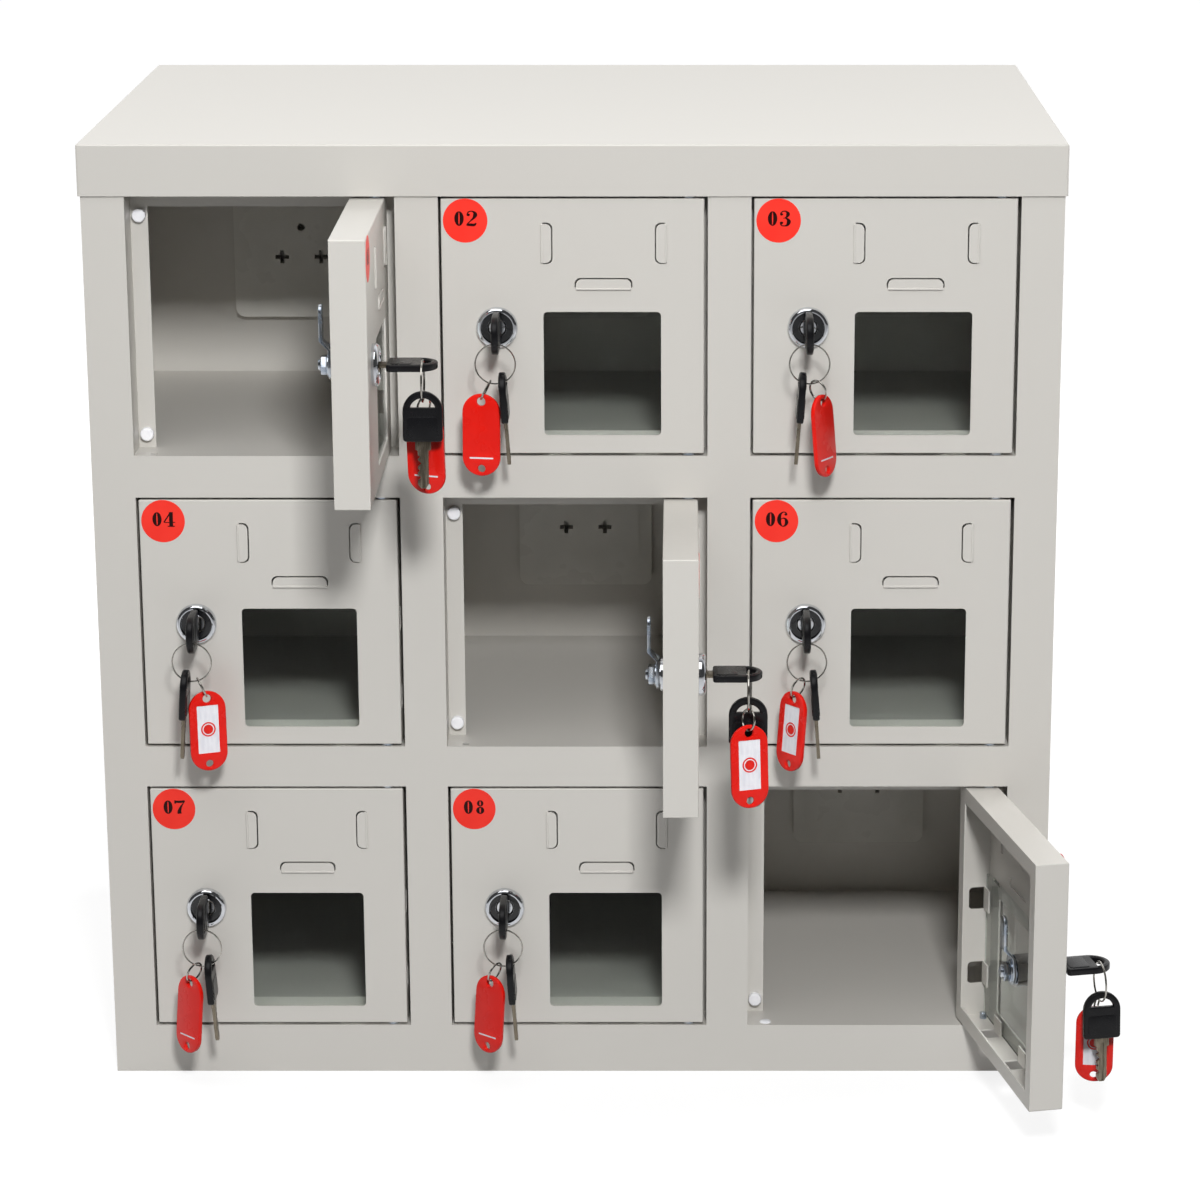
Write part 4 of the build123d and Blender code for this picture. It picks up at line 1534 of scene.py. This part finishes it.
    def fit(self, meshes: Meshes, key: Key, keys: Meshes, door: DoorPlace) -> None:
        """Hang a bundle from the key of a door.

        Args:
            meshes: the bundle's meshes.
            key: sizes of the key.
            keys: the key's meshes, for the spare one.
            door: where it hangs.
        """
        hanging = HANGINGS[door.number]
        side, twist = hanging.side.value, hanging.twist
        angle = math.radians(-90 + side * self.link_angle)
        lean = math.radians(self.link_lean * (1 - twist / self.link_upright))
        swing = math.radians(side * twist * self.link_share)
        down = Vector((side * math.sin(lean), 0, -math.cos(lean)))
        across = Vector((-math.sin(swing), math.cos(swing), 0))
        across = (across - down * across.dot(down)).normalized()
        hook = Vector((self.ring_r * math.cos(angle), 0, self.ring_r * math.sin(angle)))
        middle = hook + down * (self.link_r - self.ring_wire - self.link_wire - self.air)
        link = axes(down, down.cross(across), -across, middle * MM)

        turn = math.radians(side * twist)
        tag_lean = math.radians(-side * self.tag_lean * (1 - twist / self.tag_upright))
        width = Vector((math.cos(turn), math.sin(turn), 0))
        up = Vector((math.sin(tag_lean), 0, math.cos(tag_lean)))
        up = (up - width * up.dot(width)).normalized()
        if not hanging.label_front:
            width = -width
        tag = axes(width, up.cross(width), up, (middle + down * self.link_r) * MM)

        hang = math.radians(-90 - side * self.spare_angle)
        spare = (
            at(self.ring_r * math.cos(hang), 0, self.ring_r * math.sin(hang) + self.spare_lift)
            @ turned(side * self.spare_tilt, "Y")
            @ at(0, 0, -key.round_at - key.loop_r)
            @ turned(-90, "X")
        )
        body = f"key_ring_{door.tag}"
        places = {"split_ring": Matrix.Identity(4), "tag_link": link}
        for name, mesh in meshes.items():
            piece = put(f"{name}_{door.tag}", mesh, door.ring @ places.get(name, tag), body)
            if name == "key_tag":
                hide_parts(body)
        for name, mesh in keys.items():
            put(f"spare_{name}_{door.tag}", mesh, door.ring @ spare, body)


# ---- cabinet ---------------------------------------------------------
@dataclass
class Cabinet:
    """The folded body, its doors and what is fixed in it, each dressed in its finish.

    Attributes:
        powder_coated: nodes of folded steel.
        plug_door: door whose spare hinge hole is closed.
        neighbour: door to its left, by whose hinge the hole is found.
        pin_inset: a hinge pin from the side of its opening.
        rail: width of the front between two openings.
        plug_floor: height of the compartment's floor.
        plug_r: radius of the plug that closes the hole.
        plug_h: its height.
        plug_skirt: height of the edge of its slope.
        plug_slope: how far in that edge lies.
        plug_crown: radius of its flat top.
    """

    powder_coated: tuple[str, ...] = (
        "side_panel_left", "side_panel_right", "base_tray", "shelf_upper", "shelf_lower",
        "header_rail", "dividers", "socket_panel", "back_cover", "top_cover",
    )
    plug_door: int = 9
    neighbour: int = 8
    pin_inset: float = 11.0
    rail: float = 25.0
    plug_floor: float = 30.0
    plug_r: float = 3.4
    plug_h: float = 0.9
    plug_skirt: float = 0.55
    plug_slope: float = 0.3
    plug_crown: float = 2.4

    def dress(self) -> None:
        """Give each CAD node its finish."""
        finishes = {name: POWDER for name in self.powder_coated}
        finishes.update(
            charging_sockets=SOCKET_UREA,
            socket_wiring=DUCT_PVC,
            power_inlet=INLET_NYLON,
            hinge_pins=ZINC,
            door_buffers=BUFFER_SILICONE,
        )
        for number in range(1, DOOR_COUNT + 1):
            tag = f"{number:02d}"
            finishes.update({f"door_{tag}": POWDER, f"window_{tag}": PANE, f"lock_{tag}": CHROME})
        for name, finish in finishes.items():
            mesh = frame["nodes"][name].data
            mesh.materials.clear()
            mesh.materials.append(finish.material())
            log.info("%s is finished in %s", name, finish.name)

    def hole_plug(self) -> None:
        """Close the spare hinge hole of one compartment with a small white plug."""
        hinge, other = (
            joint_at(f"door_{number:02d}_hinge") / MM for number in (self.plug_door, self.neighbour)
        )
        profile = [(0, -self.plug_h), (self.plug_crown, -self.plug_h)]
        profile += [(self.plug_r - self.plug_slope, -self.plug_skirt), (self.plug_r, 0), (0, 0)]
        body = lathe(profile, steps=40)
        body.transform(turned(-90, "X"))
        mesh = finished("hole_plug", body, BUFFER_SILICONE)
        x = other.x + self.rail + 2 * self.pin_inset
        put("hole_plug", mesh, at(x, hinge.y, self.plug_floor), "cabinet")


# ---- studio ----------------------------------------------------------
@dataclass(frozen=True)
class Lamp:
    """A soft lamp aimed at the middle of the object.

    Attributes:
        name: its name.
        azimuth: degrees from straight ahead of the doors towards +X.
        elevation: degrees above the ground.
        distance: metres from the middle.
        size: side of its square face, in metres.
        power: watts.
        gleams: whether satin and metal show its highlight.
    """

    name: str
    azimuth: float
    elevation: float
    distance: float
    size: float
    power: float
    gleams: bool = True


@dataclass
class Studio:
    """Pale floor, plain soft light and the camera, in metres.

    Attributes:
        middle: what the lamps aim at.
        lamps: the lamps.
        camera_at: place of the camera.
        pitch: how far it looks down, in degrees.
        lens: its focal length, in mm.
        sensor: width of its sensor, in mm.
        shift_x: its sideways shift.
        ambient: light that falls on the object from all sides.
        room: brightness of the room before the object, where that mirrors it.
        room_span: Y of a direction up to which the room is dim, and from which it is white.
        front_floor: share of the floor's brightness that is mirrored before the object.
        front_span: Y up to which the floor keeps that share, and from which it is whole.
        floor_r: radius of the floor.
        floor_paper: colour of the floor as the lamps light it.
        shadow_glow: the floor's own light near the object, where it takes the shadow.
        white_from: distance at which that light starts to grow.
        white_to: distance from which the floor is plain white.
        first_bounce: a number of diffuse bounces between none and one.
    """

    middle: Vector = field(default_factory=lambda: Vector((0, 0, 0.285)))
    lamps: tuple[Lamp, ...] = (
        Lamp("key_lamp", 6, 31, 2.3, 0.26, 45, gleams=False),
        Lamp("front_softbox", -15, 60, 2.2, 1.5, 16),
        Lamp("left_fill", -115, 27, 2.4, 1.2, 44, gleams=False),
        Lamp("right_fill", 115, 27, 2.4, 1.2, 44, gleams=False),
    )
    camera_at: Station = (0.0617, -2.300, 0.8871)
    pitch: float = 15.475
    lens: float = 112.07
    sensor: float = 36.0
    shift_x: float = -0.067
    ambient: float = 0.02
    room: float = 0.06
    room_span: Point = (-0.1, 0.5)
    front_floor: float = 0.3
    front_span: Point = (-1.0, 0.2)
    floor_r: float = 14.0
    floor_paper: str = "#7C7C7C"
    shadow_glow: float = 0.82
    white_from: float = 0.55
    white_to: float = 1.1
    first_bounce: float = 0.5

    def seen(self, tree: Tree, *kinds: str) -> Socket:
        """Give 1 for a ray that shows the studio to the eye, and 0 for light on the object.

        Args:
            tree: node tree that asks.
            *kinds: the kinds of ray that count, by their Light Path outputs.

        Returns:
            The output with that value. After a diffuse bounce no ray counts.
        """
        path = add_node(tree, "ShaderNodeLightPath").outputs
        depth = {0: path["Diffuse Depth"], 1: self.first_bounce}
        first = add_node(tree, "ShaderNodeMath", depth, operation="LESS_THAN").outputs[0]
        share = path[kinds[0]]
        others = [("MAXIMUM", path[kind]) for kind in kinds[1:]]
        for operation, other in (*others, ("MULTIPLY", first)):
            pair = {0: share, 1: other}
            share = add_node(tree, "ShaderNodeMath", pair, operation=operation).outputs[0]
        return share

    def by_depth(self, tree: Tree, place: Socket, span: Point, least: float) -> Socket:
        """Give a brightness that grows to 1 from the front to the back.

        Args:
            tree: node tree that asks.
            place: place or direction.
            span: Y up to which it is least, and from which it is whole.
            least: brightness at the front.

        Returns:
            The output with that brightness.
        """
        back = add_node(tree, "ShaderNodeSeparateXYZ", {0: place}).outputs["Y"]
        inputs = {0: back, 1: span[0], 2: span[1], 3: least, 4: 1.0}
        return add_node(tree, "ShaderNodeMapRange", inputs).outputs[0]

    def surroundings(self) -> None:
        """Set the even light from all sides: white where it is seen, with a dim room before it."""
        world = bpy.data.worlds.new("studio")
        tree = empty_tree(world)
        place = add_node(tree, "ShaderNodeTexCoord").outputs["Generated"]
        paper = self.by_depth(tree, place, self.room_span, self.room)
        mirrored = {0: self.seen(tree, "Is Glossy Ray"), 3: self.ambient, 4: paper}
        dim = add_node(tree, "ShaderNodeMapRange", mirrored).outputs[0]
        direct = {0: self.seen(tree, "Is Camera Ray", "Is Transmission Ray"), 3: dim, 4: 1.0}
        strength = add_node(tree, "ShaderNodeMapRange", direct).outputs[0]
        light = add_node(tree, "ShaderNodeBackground", {"Color": WHITE, "Strength": strength})
        add_node(tree, "ShaderNodeOutputWorld", {"Surface": light.outputs[0]})
        bpy.context.scene.world = world

    def floor(self) -> None:
        """Lay the white floor, which keeps the shadow near the object."""
        body = bmesh.new()
        bmesh.ops.create_circle(body, cap_ends=True, radius=self.floor_r, segments=64)
        mesh = mesh_of("studio_floor", body)
        material = bpy.data.materials.new("studio_paper")
        tree = empty_tree(material)
        place = add_node(tree, "ShaderNodeTexCoord").outputs["Object"]
        away = add_node(tree, "ShaderNodeVectorMath", {0: place}, operation="LENGTH")
        far = add_node(
            tree,
            "ShaderNodeMapRange",
            {0: away.outputs["Value"], 1: self.white_from, 2: self.white_to},
            interpolation_type="SMOOTHSTEP",
        ).outputs[0]
        glow = {0: far, 3: self.shadow_glow, 4: 1.0}
        share = self.seen(tree, "Is Glossy Ray")
        for operation, other in (
            ("MULTIPLY", self.by_depth(tree, place, self.front_span, self.front_floor)),
            ("MAXIMUM", self.seen(tree, "Is Camera Ray", "Is Transmission Ray")),
            ("MULTIPLY", add_node(tree, "ShaderNodeMapRange", glow).outputs[0]),
        ):
            pair = {0: share, 1: other}
            share = add_node(tree, "ShaderNodeMath", pair, operation=operation).outputs[0]
        paper = add_node(tree, "ShaderNodeBsdfDiffuse", {"Color": linear(self.floor_paper)})
        light = add_node(tree, "ShaderNodeEmission", {"Color": WHITE, "Strength": share})
        layers = {0: paper.outputs[0], 1: light.outputs[0]}
        surface = add_node(tree, "ShaderNodeAddShader", layers).outputs[0]
        add_node(tree, "ShaderNodeOutputMaterial", {"Surface": surface})
        mesh.materials.append(material)
        ground = linked("studio_floor", mesh)

    def light(self) -> None:
        """Hang the lamps."""
        for lamp in self.lamps:
            data = bpy.data.lights.new(lamp.name, "AREA")
            data.size = lamp.size
            data.energy = lamp.power
            holder = linked(lamp.name, data)
            a, e = math.radians(lamp.azimuth), math.radians(lamp.elevation)
            towards = Vector((math.cos(e) * math.sin(a), -math.cos(e) * math.cos(a), math.sin(e)))
            holder.location = self.middle + towards * lamp.distance
            holder.rotation_euler = towards.to_track_quat("Z", "Y").to_euler()
            holder.visible_glossy = lamp.gleams

    def camera(self) -> None:
        """Set up the camera."""
        pitch = math.radians(self.pitch)
        ahead = Vector((0, math.cos(pitch), -math.sin(pitch)))
        right = Vector((1, 0, 0))
        data = bpy.data.cameras.new("camera")
        data.lens = self.lens
        data.sensor_width = self.sensor
        data.sensor_fit = "HORIZONTAL"
        data.shift_x = self.shift_x
        holder = linked("camera", data)
        holder.matrix_world = axes(right, right.cross(ahead), -ahead, Vector(self.camera_at))
        bpy.context.scene.camera = holder

    def build(self) -> None:
        """Build the whole studio."""
        self.surroundings()
        self.floor()
        self.light()
        self.camera()
        bpy.context.scene.view_settings.view_transform = "Standard"


def main() -> None:
    """Build every sub-assembly, then the studio."""
    logging.basicConfig(level=logging.INFO, format="%(name)s: %(message)s")
    cabinet = Cabinet()
    cabinet.dress()
    cabinet.hole_plug()

    number, clips, lock, key, bundle = DoorNumber(), CardClips(), CamLock(), Key(), KeyBundle()
    disc, folds, face = number.disc(), clips.folds(), lock.face()
    lock_meshes, key_meshes, bundle_meshes = lock.build(), key.build(), bundle.build()
    for count in range(1, DOOR_COUNT + 1):
        door = DoorPlace(count)
        number.fit(disc, door)
        clips.fit(folds, door)
        lock.fit(lock_meshes, face, door)
        key.fit(key_meshes, door)
        bundle.fit(bundle_meshes, key, key_meshes, door)

    Studio().build()


if __name__ == "__main__":
    main()
